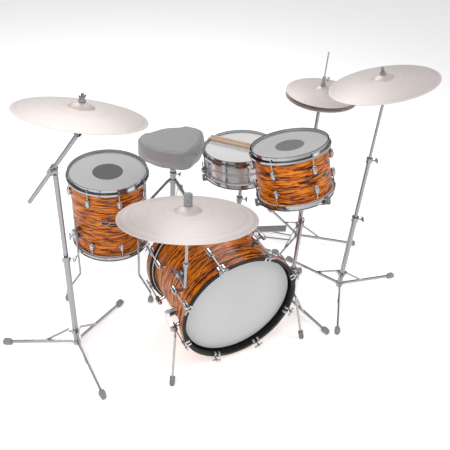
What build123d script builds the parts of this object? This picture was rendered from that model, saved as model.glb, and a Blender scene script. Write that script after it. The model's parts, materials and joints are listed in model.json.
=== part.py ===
from build123d import *
import math
import os

# Acoustic drum kit. Millimetres, +Z up. The kit is laid out with the bass drum's axis along Y at
# X = 0 and its front head towards -Y, and is moved at the end so that the origin is the bottom
# centre of its bounding box.

# ---- drums: outside radius and length of each shell ----
BASS_RADIUS = 254.0
BASS_LENGTH = 355.6
BASS_CENTRE = (0.0, 0.0, 298.5)
TOM_RADIUS = 165.1
TOM_LENGTH = 222.0
FLOOR_RADIUS = 177.8
FLOOR_LENGTH = 381.0
SNARE_RADIUS = 177.8
SNARE_LENGTH = 127.0
WOOD_WALL = 7.5
METAL_WALL = 1.6
FILM = 0.5

# ---- where each drum's upper rim is centred, and the way its batter head faces ----
TOM_RIM = (352.0, 103.0, 891.0)
TOM_FACING = (-0.146, 0.238, 0.96)
FLOOR_RIM = (-332.0, 553.0, 649.0)
SNARE_RIM = (355.0, 525.0, 654.0)
SNARE_FACING = (-0.07, 0.085, 0.994)
UP = (0.0, 0.0, 1.0)

# ---- steel hoops, lugs and tension rods of the toms and the snare ----
RIM_RISE = 14.0          # top of the hoop above the head
ROD_OFFSET = 9.2         # tension rod's axis outside the shell
ROD_RADIUS = 2.9
LUG_RADIUS = 10.0
LUG_NEAR = 44.0          # ends of a tom lug, measured in from the end of the shell
LUG_FAR = 88.0
HOOP_REACH = 15.0        # outside of the hoop's flange beyond the shell

# ---- bass drum hoops, lugs and claws ----
BASS_HOOP_OUTER = 277.0
BASS_HOOP_INNER = 262.0
BASS_HOOP_BACK = 168.0
BASS_HOOP_FRONT = 208.0
BASS_ROD_RADIAL = 287.0
BASS_LUG_AXIAL = 90.0
BASS_LUG_HALF = 28.0
BASS_LUG_RADIUS = 11.0
CLAW_WIDTH = 34.0
CLAW_THICKNESS = 3.0
T_BAR_AXIAL = 221.0      # T-bar stands clear in front of the hoop
T_BAR_LENGTH = 44.0

# ---- cymbals: radius, height of the bow and of the bell ----
CYMBAL_18 = (228.6, 24.0, 17.0)
CYMBAL_20 = (254.0, 26.0, 19.0)
CYMBAL_14 = (177.8, 17.0, 16.0)
CYMBAL_THICKNESS = 1.5
CYMBAL_HOLE = 6.4
TILTER_DROP = 60.0       # tilter's pin below the cymbal's rim plane
STEM_RADIUS = 5.5

CENTRE_CYMBAL = (-273.0, -217.0, 875.0)
CENTRE_FACING = (0.101, 0.26, 0.96)
BOOM_CYMBAL = (-551.0, 64.0, 1194.0)
BOOM_FACING = (0.202, 0.151, 0.968)
RIDE_CYMBAL_Z = 1158.0
RIDE_FACING = (-0.193, 0.205, 0.96)
HIHAT_TOP_Z = 931.0
HIHAT_GAP = 25.0

# ---- stands: place on the floor, reach of the feet and heading of the first leg ----
TUBE_RADIUS = 12.7
POST_RADIUS = 9.5
SLIDE_FIT = 0.05
BOOM_STAND = (-647.0, 141.0, 316.0, 153.5)
RIDE_STAND = (718.0, -24.0, 322.0, 112.8)
TOM_STAND = (405.0, -10.0, 255.0, -76.0)
SNARE_REACH = (232.0, -38.7)
HIHAT_STAND = (738.0, 422.0, 322.0, -31.0)
THRONE_STAND = (165.0, 936.0, 280.0, 176.0)
LEG_WIDTH = 8.0
LEG_HEIGHT = 12.0
FOOT_LENGTH = 44.0
FOOT_WIDTH = 28.0
FOOT_HEIGHT = 30.0

SEAT_TOP = 526.0
SEAT_THICKNESS = 115.0
HOLDER_RADIUS = 6.35
GAP = 0.3

LOW = (Align.CENTER, Align.CENTER, Align.MIN)


# ---------------------------------------------------------------- shapes used throughout

def spot(origin, z_dir=UP, x_dir=None):
    """The placement whose Z runs along z_dir at origin."""
    if x_dir is None:
        return Plane(origin=tuple(origin), z_dir=tuple(z_dir)).location
    return Plane(origin=tuple(origin), x_dir=tuple(x_dir), z_dir=tuple(z_dir)).location


def turned(*outline):
    """Solid of revolution about Z from (radius, height) points."""
    return revolve(make_face(Plane.XZ * Polyline(*outline, close=True)), Axis.Z)


def ring(inner, outer, low, high):
    return turned((inner, low), (outer, low), (outer, high), (inner, high))


def rod(start, end, radius, bore=0.0):
    """Round bar, or tube, between two points."""
    axis = Vector(*end) - Vector(*start)
    bar = Cylinder(radius, axis.length, align=LOW)
    if bore:
        bar -= Cylinder(bore, axis.length, align=LOW)
    return spot(start, tuple(axis)) * bar


def bar(start, end, width, height, sideways=0.0):
    """Flat bar between two points, its width level; sideways moves it along its width."""
    axis = Vector(*end) - Vector(*start)
    side = axis.cross(Vector(0, 0, 1)).normalized()
    begin = Vector(*start) + side * sideways
    return spot(tuple(begin), tuple(axis), tuple(side)) * Box(width, height, axis.length, align=LOW)


def bent_rod(points, radius, bend):
    path = FilletPolyline(*points, radius=bend)
    start = Plane(origin=points[0], z_dir=tuple(Vector(*points[1]) - Vector(*points[0])))
    return sweep(start * Circle(radius), path=path)


def around(piece, angles):
    return [Rot(0, 0, angle) * piece for angle in angles]


def spread(count, first=0.0):
    return [first + 360.0 / count * index for index in range(count)]


def below(pieces):
    """The same pieces at the other end of a drum."""
    return [mirror(piece, about=Plane.XY) for piece in pieces]


def placed(location, pieces):
    return [location * piece for piece in pieces]


def unit(vector):
    return Vector(*vector).normalized()


def point_on(origin, direction, distance):
    return tuple(Vector(*origin) + unit(direction) * distance)


def polar(centre, radius, angle, height):
    return (centre[0] + radius * math.cos(math.radians(angle)),
            centre[1] + radius * math.sin(math.radians(angle)), height)


def tilt_axis(carrier, leaning):
    """Axis square to both the part that carries a tilter and the part that leans on it."""
    return tuple(Vector(*carrier).cross(Vector(*leaning)).normalized())


def wing_screw(start, direction, length=16.0):
    """T-handled screw, pointing away from what it clamps."""
    shank = Cylinder(3, length, align=LOW) + Pos(0, 0, length - 4) * Cylinder(7, 12, align=LOW)
    grip = Pos(0, 0, length + 4) * (Rot(0, 90, 0) * Cylinder(4.5, 38))
    return spot(start, direction) * (shank + grip)


# ---------------------------------------------------------------- drums

def wooden_shell(radius, wall, length):
    half = length / 2
    inner = radius - wall
    return turned((inner, -half + 4), (radius - 2, -half), (radius, -half + 1), (radius, half - 1),
                  (radius - 2, half), (inner, half - 4))


def beaded_shell(radius, wall, length):
    half = length / 2
    inner = radius - wall
    bead = 3.0
    return turned((inner, -half), (radius, -half), (radius, -8), (radius + bead, 0), (radius, 8),
                  (radius, half), (inner, half), (inner, 9), (inner + bead, 0), (inner, -9))


def drum_head(radius, half):
    """Film over the bearing edge, its collar and the flesh hoop."""
    return turned((0, half), (radius + 0.5, half), (radius + 0.5, half - 12), (radius + 5.5, half - 12),
                  (radius + 5.5, half - 8), (radius + 1, half - 8), (radius + 1, half + FILM), (0, half + FILM))


def steel_hoop(radius, half, angles):
    """Flanged hoop pressed on the head, drilled for its tension rods."""
    seat = half - 8
    top = half + RIM_RISE
    hoop = turned((radius + 2, seat), (radius + 2, top), (radius + 8, top), (radius + 8, top - 2.3),
                  (radius + 4.3, top - 2.3), (radius + 4.3, seat + 2.3), (radius + HOOP_REACH, seat + 2.3),
                  (radius + HOOP_REACH, seat - 6), (radius + HOOP_REACH - 2, seat - 6),
                  (radius + HOOP_REACH - 2, seat))
    hole = Pos(radius + ROD_OFFSET, 0, seat - 1) * Cylinder(ROD_RADIUS + 0.3, 5, align=LOW)
    for angle in angles:
        hoop -= Rot(0, 0, angle) * hole
    return hoop


def tension_rod(radius, half, end):
    seat = half - 8 + 2.3
    shank = Pos(radius + ROD_OFFSET, 0, end) * Cylinder(ROD_RADIUS, seat - end, align=LOW)
    washer = Pos(radius + ROD_OFFSET, 0, seat) * Cylinder(4.6, 1.5, align=LOW)
    head = Pos(radius + ROD_OFFSET, 0, seat + 1.5) * Box(6, 6, 7.5, align=LOW)
    return shank + washer + head


def bullet_lug(radius, rod_axis, low, high, lug_radius):
    """Round-ended lug on a foot that fits the shell."""
    body = Pos(rod_axis, 0, 0) * turned((0, low), (lug_radius * 0.6, low), (lug_radius, low + 4),
                                        (lug_radius, high - 4), (lug_radius * 0.6, high), (0, high))
    middle = (low + high) / 2
    foot = Pos((radius + rod_axis) / 2, 0, middle) * Box(rod_axis - radius + 2, lug_radius * 1.3, 20)
    return body + foot - Cylinder(radius + 0.05, 4 * abs(high) + 50)


def lugs_and_rods(radius, half, angles, low, high):
    upper = [bullet_lug(radius, radius + ROD_OFFSET, low, high, LUG_RADIUS), tension_rod(radius, half, high)]
    one_end = [copy for piece in upper for copy in around(piece, angles)]
    return one_end + below(one_end)


def drum_place(rim, facing, length):
    """Placement of a drum's middle from its upper rim."""
    return spot(point_on(rim, facing, -(length / 2 + RIM_RISE)), facing, (1, 0, 0))


def wooden_tom(name, radius, length, place, angles):
    half = length / 2
    hoop = steel_hoop(radius, half, angles)
    head = drum_head(radius, half)
    return {
        name + "_shell": placed(place, [wooden_shell(radius, WOOD_WALL, length)]),
        name + "_hoops": placed(place, [hoop] + below([hoop])),
        name + "_heads": placed(place, [head] + below([head])),
        name + "_lugs": placed(place, lugs_and_rods(radius, half, angles, half - LUG_FAR, half - LUG_NEAR)),
    }


def bass_drum():
    place = spot(BASS_CENTRE, (0, -1, 0), (1, 0, 0))
    half = BASS_LENGTH / 2
    angles = spread(8, 22.5)
    hoop = ring(BASS_HOOP_INNER, BASS_HOOP_OUTER, BASS_HOOP_BACK, BASS_HOOP_FRONT)
    flesh = BASS_HOOP_BACK
    head = turned((0, half), (BASS_RADIUS + 0.5, half), (BASS_RADIUS + 0.5, flesh - 7),
                  (BASS_RADIUS + 12, flesh - 7), (BASS_RADIUS + 12, flesh), (BASS_RADIUS + 1.2, flesh),
                  (BASS_RADIUS + 1.2, half + FILM), (0, half + FILM))
    lug = bullet_lug(BASS_RADIUS, BASS_ROD_RADIAL, BASS_LUG_AXIAL - BASS_LUG_HALF,
                     BASS_LUG_AXIAL + BASS_LUG_HALF, BASS_LUG_RADIUS)
    lug_end = BASS_LUG_AXIAL + BASS_LUG_HALF
    ear_low, ear_high = 184.0, 192.0
    outside = BASS_HOOP_OUTER + 0.1
    inside = BASS_HOOP_INNER - 0.9
    front = BASS_HOOP_FRONT + 0.1
    thick = CLAW_THICKNESS
    wide = CLAW_WIDTH
    ear_end = BASS_ROD_RADIAL + 7
    plate = Pos(outside + thick / 2, 0, 172) * Box(thick, wide, front + thick - 172, align=LOW)
    lip = Pos((inside + outside) / 2, 0, front) * Box(outside - inside + 2 * thick, wide, thick, align=LOW)
    hook = Pos(inside - thick / 2, 0, front - 12) * Box(thick, wide, 12 + thick, align=LOW)
    ear_reach = ear_end - outside - 2
    ear = Pos(ear_end - ear_reach / 2, 0, ear_low) * Box(ear_reach, 16, ear_high - ear_low, align=LOW)
    claw = plate + lip + hook + ear - Pos(BASS_ROD_RADIAL, 0, ear_low) * Cylinder(3.3, 20)
    shank = Pos(BASS_ROD_RADIAL, 0, lug_end) * Cylinder(3, T_BAR_AXIAL - lug_end, align=LOW)
    collar = Pos(BASS_ROD_RADIAL, 0, ear_high + 0.1) * Cylinder(5.5, 6, align=LOW)
    handle = Pos(BASS_ROD_RADIAL, 0, T_BAR_AXIAL) * (Rot(90, 0, 0) * Cylinder(4.2, T_BAR_LENGTH))
    boss = Pos(BASS_ROD_RADIAL, 0, T_BAR_AXIAL - 7) * Cylinder(6, 13, align=LOW)
    ends = {"lugs": [lug], "claws": [claw, shank + collar + handle + boss]}
    nodes = {
        "bass_drum_shell": placed(place, [wooden_shell(BASS_RADIUS, 8.0, BASS_LENGTH)]),
        "bass_drum_hoops": placed(place, [hoop] + below([hoop])),
        "bass_drum_heads": placed(place, [head] + below([head])),
    }
    for name, pieces in ends.items():
        one_end = [copy for piece in pieces for copy in around(piece, angles)]
        nodes["bass_drum_" + name] = placed(place, one_end + below(one_end))
    return nodes


def radial(angle):
    """Direction out of the bass drum's shell, angle from straight up, positive to +X."""
    return (math.sin(math.radians(angle)), 0.0, math.cos(math.radians(angle)))


def shell_point(angle, distance, y):
    out = Vector(*radial(angle)) * distance
    return (BASS_CENTRE[0] + out.X, y, BASS_CENTRE[2] + out.Z)


SPUR_ANGLE = 100.0
SPUR_Y = -62.0
SPUR_FOOT_Y = -243.0
SPUR_FOOT_X = 337.0
SPUR_KNEE = (300.0, -186.0, 256.0)
SPUR_HOUSING = 92.0      # length of the housing the leg slides in
SPUR_ROD_RADIUS = 5.5
SPUR_BOSS = BASS_RADIUS + 24
HOLDER_ANGLE = -55.0
HOLDER_Y = -51.0
HOLDER_KNEE = (-260.0, -182.0, 499.0)


def shell_cutter():
    return rod((0, 300, BASS_CENTRE[2]), (0, -300, BASS_CENTRE[2]), BASS_RADIUS + 0.05)


def spur_bracket(side):
    angle = side * SPUR_ANGLE
    inside = shell_point(angle, BASS_RADIUS - 4, SPUR_Y)
    outside = shell_point(angle, SPUR_BOSS, SPUR_Y)
    base = rod(inside, shell_point(angle, BASS_RADIUS + 6, SPUR_Y), 24)
    block = rod(inside, outside, 16) + base
    bore = rod(shell_point(angle, BASS_RADIUS + 8, SPUR_Y), shell_point(angle, SPUR_BOSS + 1, SPUR_Y), 5.05)
    return block - bore - shell_cutter()


def spur(side):
    """Leg that bends down out of a housing turning on its bracket, with a rubber tip."""
    angle = side * SPUR_ANGLE
    boss = rod(shell_point(angle, SPUR_BOSS + GAP, SPUR_Y), shell_point(angle, SPUR_BOSS + 18, SPUR_Y), 17)
    pin = rod(shell_point(angle, SPUR_BOSS - 14, SPUR_Y), shell_point(angle, SPUR_BOSS + 1, SPUR_Y), 5)
    start = shell_point(angle, SPUR_BOSS + 9, SPUR_Y)
    knee = (side * SPUR_KNEE[0], SPUR_KNEE[1], SPUR_KNEE[2])
    tip = (side * SPUR_FOOT_X, SPUR_FOOT_Y, 12.3)
    end = point_on(tip, tuple(Vector(*knee) - Vector(*tip)), 34)
    forward = tuple(Vector(*knee) - Vector(*start))
    housing = spot(start, forward, radial(angle)) * Pos(4, 0, 0) * Box(17, 30, SPUR_HOUSING, align=LOW)
    leg = bent_rod([start, knee, end], SPUR_ROD_RADIUS, 26)
    rubber = rod(tip, end, 12) + Pos(*tip) * Sphere(12)
    return [boss + pin + housing + leg, rubber]


def holder_centre():
    return shell_point(HOLDER_ANGLE, BASS_RADIUS + 24, HOLDER_Y)


def holder_direction():
    return tuple((Vector(*HOLDER_KNEE) - Vector(*holder_centre())).normalized())


def holder_bracket():
    centre = holder_centre()
    out = radial(HOLDER_ANGLE)
    block = spot(centre, holder_direction(), out) * Box(28, 30, 34)
    pad = spot(shell_point(HOLDER_ANGLE, BASS_RADIUS - 4, HOLDER_Y), out, (0, 1, 0)) * Box(52, 38, 14, align=LOW)
    neck = spot(shell_point(HOLDER_ANGLE, BASS_RADIUS - 2, HOLDER_Y), out, (0, 1, 0)) * Box(30, 28, 20, align=LOW)
    along = Vector(*holder_direction())
    bore = rod(tuple(Vector(*centre) - along * 40), tuple(Vector(*centre) + along * 40), HOLDER_RADIUS + SLIDE_FIT)
    screw = wing_screw(point_on(centre, out, 16), out)
    return [block + pad + neck - bore - shell_cutter(), screw]


# ---------------------------------------------------------------- cymbals and tilters

def cymbal(size, lower_hole=CYMBAL_HOLE):
    """Bowed disc with a bell, its rim plane at Z = 0."""
    radius, bow, bell = size
    bell_radius = radius * 0.2
    high = bow + bell
    top_bow = ThreePointArc((radius, 0), (radius * 0.62, bow * 0.66), (bell_radius, bow))
    top_bell = ThreePointArc((bell_radius, bow), (bell_radius * 0.62, bow + bell * 0.66), (lower_hole, high))
    drop = -CYMBAL_THICKNESS
    low_bell = ThreePointArc((lower_hole, high + drop), (bell_radius * 0.62, bow + bell * 0.66 + drop),
                             (bell_radius, bow + drop))
    low_bow = ThreePointArc((bell_radius, bow + drop), (radius * 0.62, bow * 0.66 + drop), (radius, drop))
    ends = Line((lower_hole, high), (lower_hole, high + drop)) + Line((radius, drop), (radius, 0))
    outline = Curve() + [top_bow, top_bell, low_bell, low_bow] + ends
    return revolve(Plane.XZ * make_face(outline), Axis.Z)


def fork(width=10.0, radius=9.0):
    """Two ears and their pin about local X; the base is 21 below the pin."""
    reach = width / 2 + 0.15 + 2
    ears = Part()
    for side in (-1, 1):
        ears += Pos(side * reach, 0, -16) * Box(4, 2 * radius, 16, align=LOW)
        ears += Pos(side * reach, 0, 0) * (Rot(0, 90, 0) * Cylinder(radius, 4))
    base = Pos(0, 0, -21) * Box(2 * reach + 4, 2 * radius, 5.5, align=LOW)
    pin = Rot(0, 90, 0) * Cylinder(3, 2 * reach + 8)
    return ears + base + pin


def tongue(width=10.0, radius=9.0):
    return Rot(0, 90, 0) * (Cylinder(radius, width) - Cylinder(3.05, width))


def wing_nut(low, bore=STEM_RADIUS + 0.1):
    body = ring(bore, 9, low, low + 10)
    wings = Pos(0, 0, low + 2) * Box(34, 4, 14, align=LOW) - Cylinder(8, 200)
    return body + wings


def tilter(pin, facing, axis, size, tall_sleeve=False):
    """Tongue with its stem, lower felt, upper felt and nut; returns separate solids."""
    high = size[1] + size[2]
    rim = TILTER_DROP
    stem_top = rim + high + (46 if tall_sleeve else 30)
    neck = Pos(0, 0, 7) * Cylinder(4.8, rim + high - 16 - 7, align=LOW)
    stem = Pos(0, 0, rim + high - 16) * Cylinder(STEM_RADIUS, stem_top - (rim + high - 16), align=LOW)
    seat = Pos(0, 0, rim + high - 16) * Cylinder(13, 3, align=LOW)
    metal = tongue() + (neck + stem + seat - Rot(0, 90, 0) * Cylinder(3.05, 12))
    bore = STEM_RADIUS + 0.1
    lower_felt = ring(bore, 13, rim + high - 13, rim + high - 3.6)
    pieces = [metal, lower_felt]
    if tall_sleeve:
        pieces.append(ring(bore, 16, rim + high + GAP, rim + high + 45))
    else:
        pieces.append(ring(bore, 13, rim + high + GAP, rim + high + 9))
        pieces.append(wing_nut(rim + high + 9.2))
    return placed(spot(pin, facing, axis), pieces)


def pin_under(centre, facing):
    return point_on(centre, facing, -TILTER_DROP)


# ---------------------------------------------------------------- stands

def foot(centre, reach, angle):
    """Rubber foot at the end of a stand's leg, flat underneath."""
    block = Box(FOOT_LENGTH, FOOT_WIDTH, FOOT_HEIGHT, align=LOW)
    block = fillet(block.edges().filter_by(Axis.Z), 8)
    block = fillet(block.faces().sort_by(Axis.Z)[-1].edges(), 6)
    return Pos(*polar(centre, reach, angle, 0)) * (Rot(0, 0, angle) * block)


def tripod(stand, tube_low, tube_high, leg_z=36.0, stay_z=106.0, join=0.42, leg=(LEG_WIDTH, LEG_HEIGHT),
           tube=TUBE_RADIUS, bore=POST_RADIUS + SLIDE_FIT, screw_angle=-30.0):
    """Tube, height clamp, leg hub, stay collar, three legs and three stays; the feet apart."""
    x, y, reach, heading = stand
    leg_width, leg_height = leg
    hub_radius = tube + 5
    ear_end = 28.0
    pieces = [Pos(x, y, tube_low) * ring(bore, tube, 0, tube_high - tube_low)]
    clamp = ring(tube + 0.1, tube + 4.5, 0, 26)
    pieces.append(Pos(x, y, tube_high - 24) * clamp)
    outward = (math.cos(math.radians(screw_angle)), math.sin(math.radians(screw_angle)), 0)
    pieces.append(wing_screw(point_on((x, y, tube_high - 11), outward, tube + 4.7), outward))
    for level, ear_width in ((leg_z, leg_width), (stay_z, leg_width + 8)):
        hub = ring(tube + 0.1, hub_radius, -11, 11)
        ear = Pos((tube + 2 + ear_end) / 2, 0, 0) * Box(ear_end - tube - 2, ear_width, 14)
        for angle in spread(3, heading):
            hub += Rot(0, 0, angle) * ear
        pieces.append(Pos(x, y, level) * hub)
    feet = []
    foot_z = 15.0
    fall = (leg_z - foot_z) / math.hypot(leg_z - foot_z, reach)
    end_radius = reach - FOOT_LENGTH / 2 - 0.2 - leg_height * fall
    for angle in spread(3, heading):
        start = polar((x, y), ear_end + 1, angle, leg_z)
        end = polar((x, y), end_radius, angle, foot_z)
        pieces.append(bar(start, end, leg_width, leg_height))
        meet = Vector(*start) + (Vector(*end) - Vector(*start)) * join
        stay_start = polar((x, y), ear_end + 1, angle, stay_z)
        pieces.append(bar(stay_start, tuple(meet), 3, 10, leg_width / 2 + 1.6))
        feet.append(foot((x, y), reach, angle))
    return pieces, feet


def post(centre, low, high, top=None, axis=None):
    """Round post, with a fork on it when something tilts there."""
    x, y = centre
    piece = Pos(x, y, low) * Cylinder(POST_RADIUS, high - low, align=LOW)
    if top is not None:
        piece += spot(top, UP, axis) * fork()
    return piece


def middle_tube(centre, low, high, screw_angle=-30.0):
    """Middle tube with the clamp that holds the tube above it."""
    x, y = centre
    tube = Pos(x, y, low) * ring(6.4, POST_RADIUS, 0, high - low)
    clamp = Pos(x, y, high - 22) * ring(POST_RADIUS + 0.1, POST_RADIUS + 4.5, 0, 24)
    outward = (math.cos(math.radians(screw_angle)), math.sin(math.radians(screw_angle)), 0)
    screw = wing_screw(point_on((x, y, high - 10), outward, POST_RADIUS + 4.7), outward)
    return [tube, clamp, screw]


def top_post(centre, low, top, axis):
    x, y = centre
    return Pos(x, y, low) * Cylinder(6.35, top[2] - 20.5 - low, align=LOW) + spot(top, UP, axis) * fork()


BASKET_HUB = 21.0


def basket(place, radius, length, pin, axis, angles, hub_drop):
    """Arms and grips that carry a drum by its lower hoop, on a tongue at the pin."""
    rim = -(length / 2 + RIM_RISE)
    hub = (place * Pos(0, 0, rim - hub_drop)).position
    stem_start = Vector(*pin) + (hub - Vector(*pin)).normalized() * 7
    stem = rod(tuple(stem_start), tuple(hub), 4.8) - spot(pin, UP, axis) * (Rot(0, 90, 0) * Cylinder(3.05, 12))
    metal = spot(pin, UP, axis) * tongue() + stem
    knob = place * Pos(0, 0, rim - hub_drop) * Cylinder(BASKET_HUB, 26)
    pieces = [metal + knob]
    for angle in angles:
        turn = place * Rot(0, 0, angle)
        arm = bar((BASKET_HUB + 0.1, 0, rim - hub_drop), (radius + 3, 0, rim - 11.6), 9, 7)
        finger = Pos(radius + HOOP_REACH + 6.5, 0, rim - 8) * Box(12, 16, 32, align=LOW)
        pad = Pos(radius + 8, 0, rim - 8) * Box(20, 16, 7.7, align=LOW)
        pieces.append(turn * arm)
        pieces.append(turn * (finger + pad))
    return pieces


# ---------------------------------------------------------------- whole kit

nodes = {}
feet = []
nodes.update(bass_drum())
nodes["bass_drum_brackets"] = [spur_bracket(-1), spur_bracket(1)] + holder_bracket()
nodes["spur_left"] = spur(-1)
nodes["spur_right"] = spur(1)

# Cymbal holder on the bass drum.
centre_pin = pin_under(CENTRE_CYMBAL, CENTRE_FACING)
rise = (Vector(*centre_pin) - Vector(*HOLDER_KNEE)).normalized()
centre_axis = tilt_axis(tuple(rise), CENTRE_FACING)
holder_start = tuple(Vector(*holder_centre()) - Vector(*holder_direction()) * 26)
holder_end = tuple(Vector(*centre_pin) - rise * 20.5)
collar_at = tuple(Vector(*HOLDER_KNEE) + rise * 140)
holder = bent_rod([holder_start, HOLDER_KNEE, holder_end], HOLDER_RADIUS, 16)
nodes["holder_rod"] = [holder + spot(centre_pin, tuple(rise), centre_axis) * fork(),
                       spot(collar_at, tuple(rise)) * ring(HOLDER_RADIUS + 0.1, 11, 0, 16)]
nodes["centre_tilter"] = tilter(centre_pin, CENTRE_FACING, centre_axis, CYMBAL_20, tall_sleeve=True)
nodes["centre_cymbal"] = [spot(CENTRE_CYMBAL, CENTRE_FACING) * cymbal(CYMBAL_20)]

# Bass drum pedal: heel and toe lie on the drum's axis, behind the batter head.
PEDAL_SHAFT = (0.0, 248.0, 170.0)
PEDAL_HEEL = (0.0, 530.0, 22.0)
PEDAL_TOE_Y = 272.0
BEATER_LEAN = 35.0
BEATER_LENGTH = 145.0
PEDAL_SLOPE = 11.0


def pedal_frame():
    shaft_y, shaft_z = PEDAL_SHAFT[1], PEDAL_SHAFT[2]
    frame = Pos(0, 383, 0) * Box(76, 334, 5, align=LOW)
    for side in (-1, 1):
        upright = Pos(side * 42, shaft_y, 0) * Box(12, 26, shaft_z + 14, align=LOW)
        ear = Pos(side * 33, PEDAL_HEEL[1], 0) * Box(6, 16, 31, align=LOW)
        frame += upright + ear
    frame -= rod((-60, shaft_y, shaft_z), (60, shaft_y, shaft_z), 5.05)
    frame += rod((-38, PEDAL_HEEL[1], PEDAL_HEEL[2]), (38, PEDAL_HEEL[1], PEDAL_HEEL[2]), 3)
    hoop_low = BASS_CENTRE[2] - BASS_HOOP_OUTER
    hoop_high = BASS_CENTRE[2] - BASS_HOOP_INNER
    jaw_top = hoop_high + 11
    wall = Pos(0, 216, 0) * Box(40, 14, jaw_top, align=LOW)
    under = Pos(0, 199, 6) * Box(40, 24, hoop_low - 6.3, align=LOW)
    over = Pos(0, 200, hoop_high + 1.1) * Box(40, 20, jaw_top - hoop_high - 1.1, align=LOW)
    return [frame + wall + under + over]


def pedal_footboard():
    slope = (0, -math.cos(math.radians(PEDAL_SLOPE)), math.sin(math.radians(PEDAL_SLOPE)))
    length = (PEDAL_HEEL[1] - PEDAL_TOE_Y) / math.cos(math.radians(PEDAL_SLOPE))
    board = spot(PEDAL_HEEL, slope, (1, 0, 0)) * Pos(0, 0, 8) * Box(56, 5, length - 8, align=LOW)
    barrel = rod((-29, PEDAL_HEEL[1], PEDAL_HEEL[2]), (29, PEDAL_HEEL[1], PEDAL_HEEL[2]), 7)
    bore = rod((-30, PEDAL_HEEL[1], PEDAL_HEEL[2]), (30, PEDAL_HEEL[1], PEDAL_HEEL[2]), 3.05)
    toe = point_on(PEDAL_HEEL, slope, length - 5)
    link = Pos(0, toe[1], toe[2]) * Box(9, 4, 44, align=LOW)
    return [board + barrel + link - bore]


def pedal_beater():
    y, z = PEDAL_SHAFT[1], PEDAL_SHAFT[2]
    shaft = rod((-52, y, z), (52, y, z), 5)
    cam = rod((-6, y, z), (6, y, z), 17)
    lean = math.radians(BEATER_LEAN)
    up = (0, math.sin(lean), math.cos(lean))
    top = point_on(PEDAL_SHAFT, up, BEATER_LENGTH)
    stick = rod(PEDAL_SHAFT, point_on(PEDAL_SHAFT, up, BEATER_LENGTH - 18), 4)
    face = (0, -math.cos(lean), math.sin(lean))
    felt = rod(point_on(top, face, -20), point_on(top, face, 20), 19)
    return [shaft + cam + stick, felt - rod(PEDAL_SHAFT, point_on(PEDAL_SHAFT, up, BEATER_LENGTH - 17.8), 4.1)]


nodes["pedal_frame"] = pedal_frame()
nodes["pedal_footboard"] = pedal_footboard()
nodes["pedal_beater"] = pedal_beater()

# Tom on its basket stand.
tom_place = drum_place(TOM_RIM, TOM_FACING, TOM_LENGTH)
nodes.update(wooden_tom("tom", TOM_RADIUS, TOM_LENGTH, tom_place, spread(6, 30)))
TOM_HUB_DROP = 50.0
tom_pin = (TOM_STAND[0], TOM_STAND[1], 535.0)
tom_hub = point_on(TOM_RIM, TOM_FACING, -(TOM_LENGTH + 2 * RIM_RISE + TOM_HUB_DROP))
tom_axis = tilt_axis(UP, tuple(Vector(*tom_hub) - Vector(*tom_pin)))
pieces, stand_feet = tripod(TOM_STAND, 24, 240)
nodes["tom_stand_tripod"] = pieces
feet += stand_feet
nodes["tom_stand_post"] = [post(TOM_STAND[:2], 110, tom_pin[2] - 20.5, tom_pin, tom_axis)]
nodes["tom_basket"] = basket(tom_place, TOM_RADIUS, TOM_LENGTH, tom_pin, tom_axis, (-75, 45, 165), TOM_HUB_DROP)

# Floor tom: the drum rides up and down on its three legs.
FLOOR_LEG_OFFSET = 27.2
FLOOR_LEG_ANGLES = (-160.0, -70.0, 65.0)
FLOOR_FOOT_RADIUS = 290.0
FLOOR_LEG_RADIUS = 5.0
floor_place = drum_place(FLOOR_RIM, UP, FLOOR_LENGTH)
nodes.update(wooden_tom("floor_tom", FLOOR_RADIUS, FLOOR_LENGTH, floor_place, spread(8, -137.5)))


def floor_tom_legs_and_brackets():
    centre = FLOOR_RIM[:2]
    bottom = FLOOR_RIM[2] - FLOOR_LENGTH - 2 * RIM_RISE
    bracket_z = bottom + 136
    line = FLOOR_RADIUS + FLOOR_LEG_OFFSET
    brackets, legs, rubber = [], [], []
    for angle in FLOOR_LEG_ANGLES:
        block = Pos(line - 8, 0, -20) * Box(44, 30, 40, align=LOW)
        wing = wing_screw((line + 14.1, 0, 0), (1, 0, 0))
        bore = Pos(line, 0, 0) * Cylinder(FLOOR_LEG_RADIUS + SLIDE_FIT, 80)
        block = block - bore - Cylinder(FLOOR_RADIUS + 0.05, 200)
        turn = Pos(centre[0], centre[1], bracket_z) * Rot(0, 0, angle)
        brackets += [turn * block, turn * wing]
        path = [polar(centre, line, angle, bracket_z + 94), polar(centre, line, angle, 125),
                polar(centre, FLOOR_FOOT_RADIUS, angle, 62), polar(centre, FLOOR_FOOT_RADIUS, angle, 36)]
        legs.append(bent_rod(path, FLOOR_LEG_RADIUS, 14))
        bulb = turned((0, 0), (13, 0), (15, 8), (14, 22), (9, 35.7), (0, 35.7))
        rubber.append(Pos(*polar(centre, FLOOR_FOOT_RADIUS, angle, 0)) * bulb)
    return brackets, legs, rubber


brackets, legs, rubber = floor_tom_legs_and_brackets()
nodes["floor_tom_leg_brackets"] = brackets
nodes["floor_tom_legs"] = legs
feet += rubber

# Snare drum in its basket, with two sticks laid across it.
snare_place = drum_place(SNARE_RIM, SNARE_FACING, SNARE_LENGTH)
SNARE_LUG_ANGLES = spread(10, 3)
STRAINER_ANGLE = 170.0
snare_half = SNARE_LENGTH / 2
snare_hoop = steel_hoop(SNARE_RADIUS, snare_half, SNARE_LUG_ANGLES)
snare_head = drum_head(SNARE_RADIUS, snare_half)
nodes["snare_shell"] = placed(snare_place, [beaded_shell(SNARE_RADIUS, METAL_WALL, SNARE_LENGTH)])
nodes["snare_hoops"] = placed(snare_place, [snare_hoop] + below([snare_hoop]))
nodes["snare_heads"] = placed(snare_place, [snare_head] + below([snare_head]))


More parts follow.
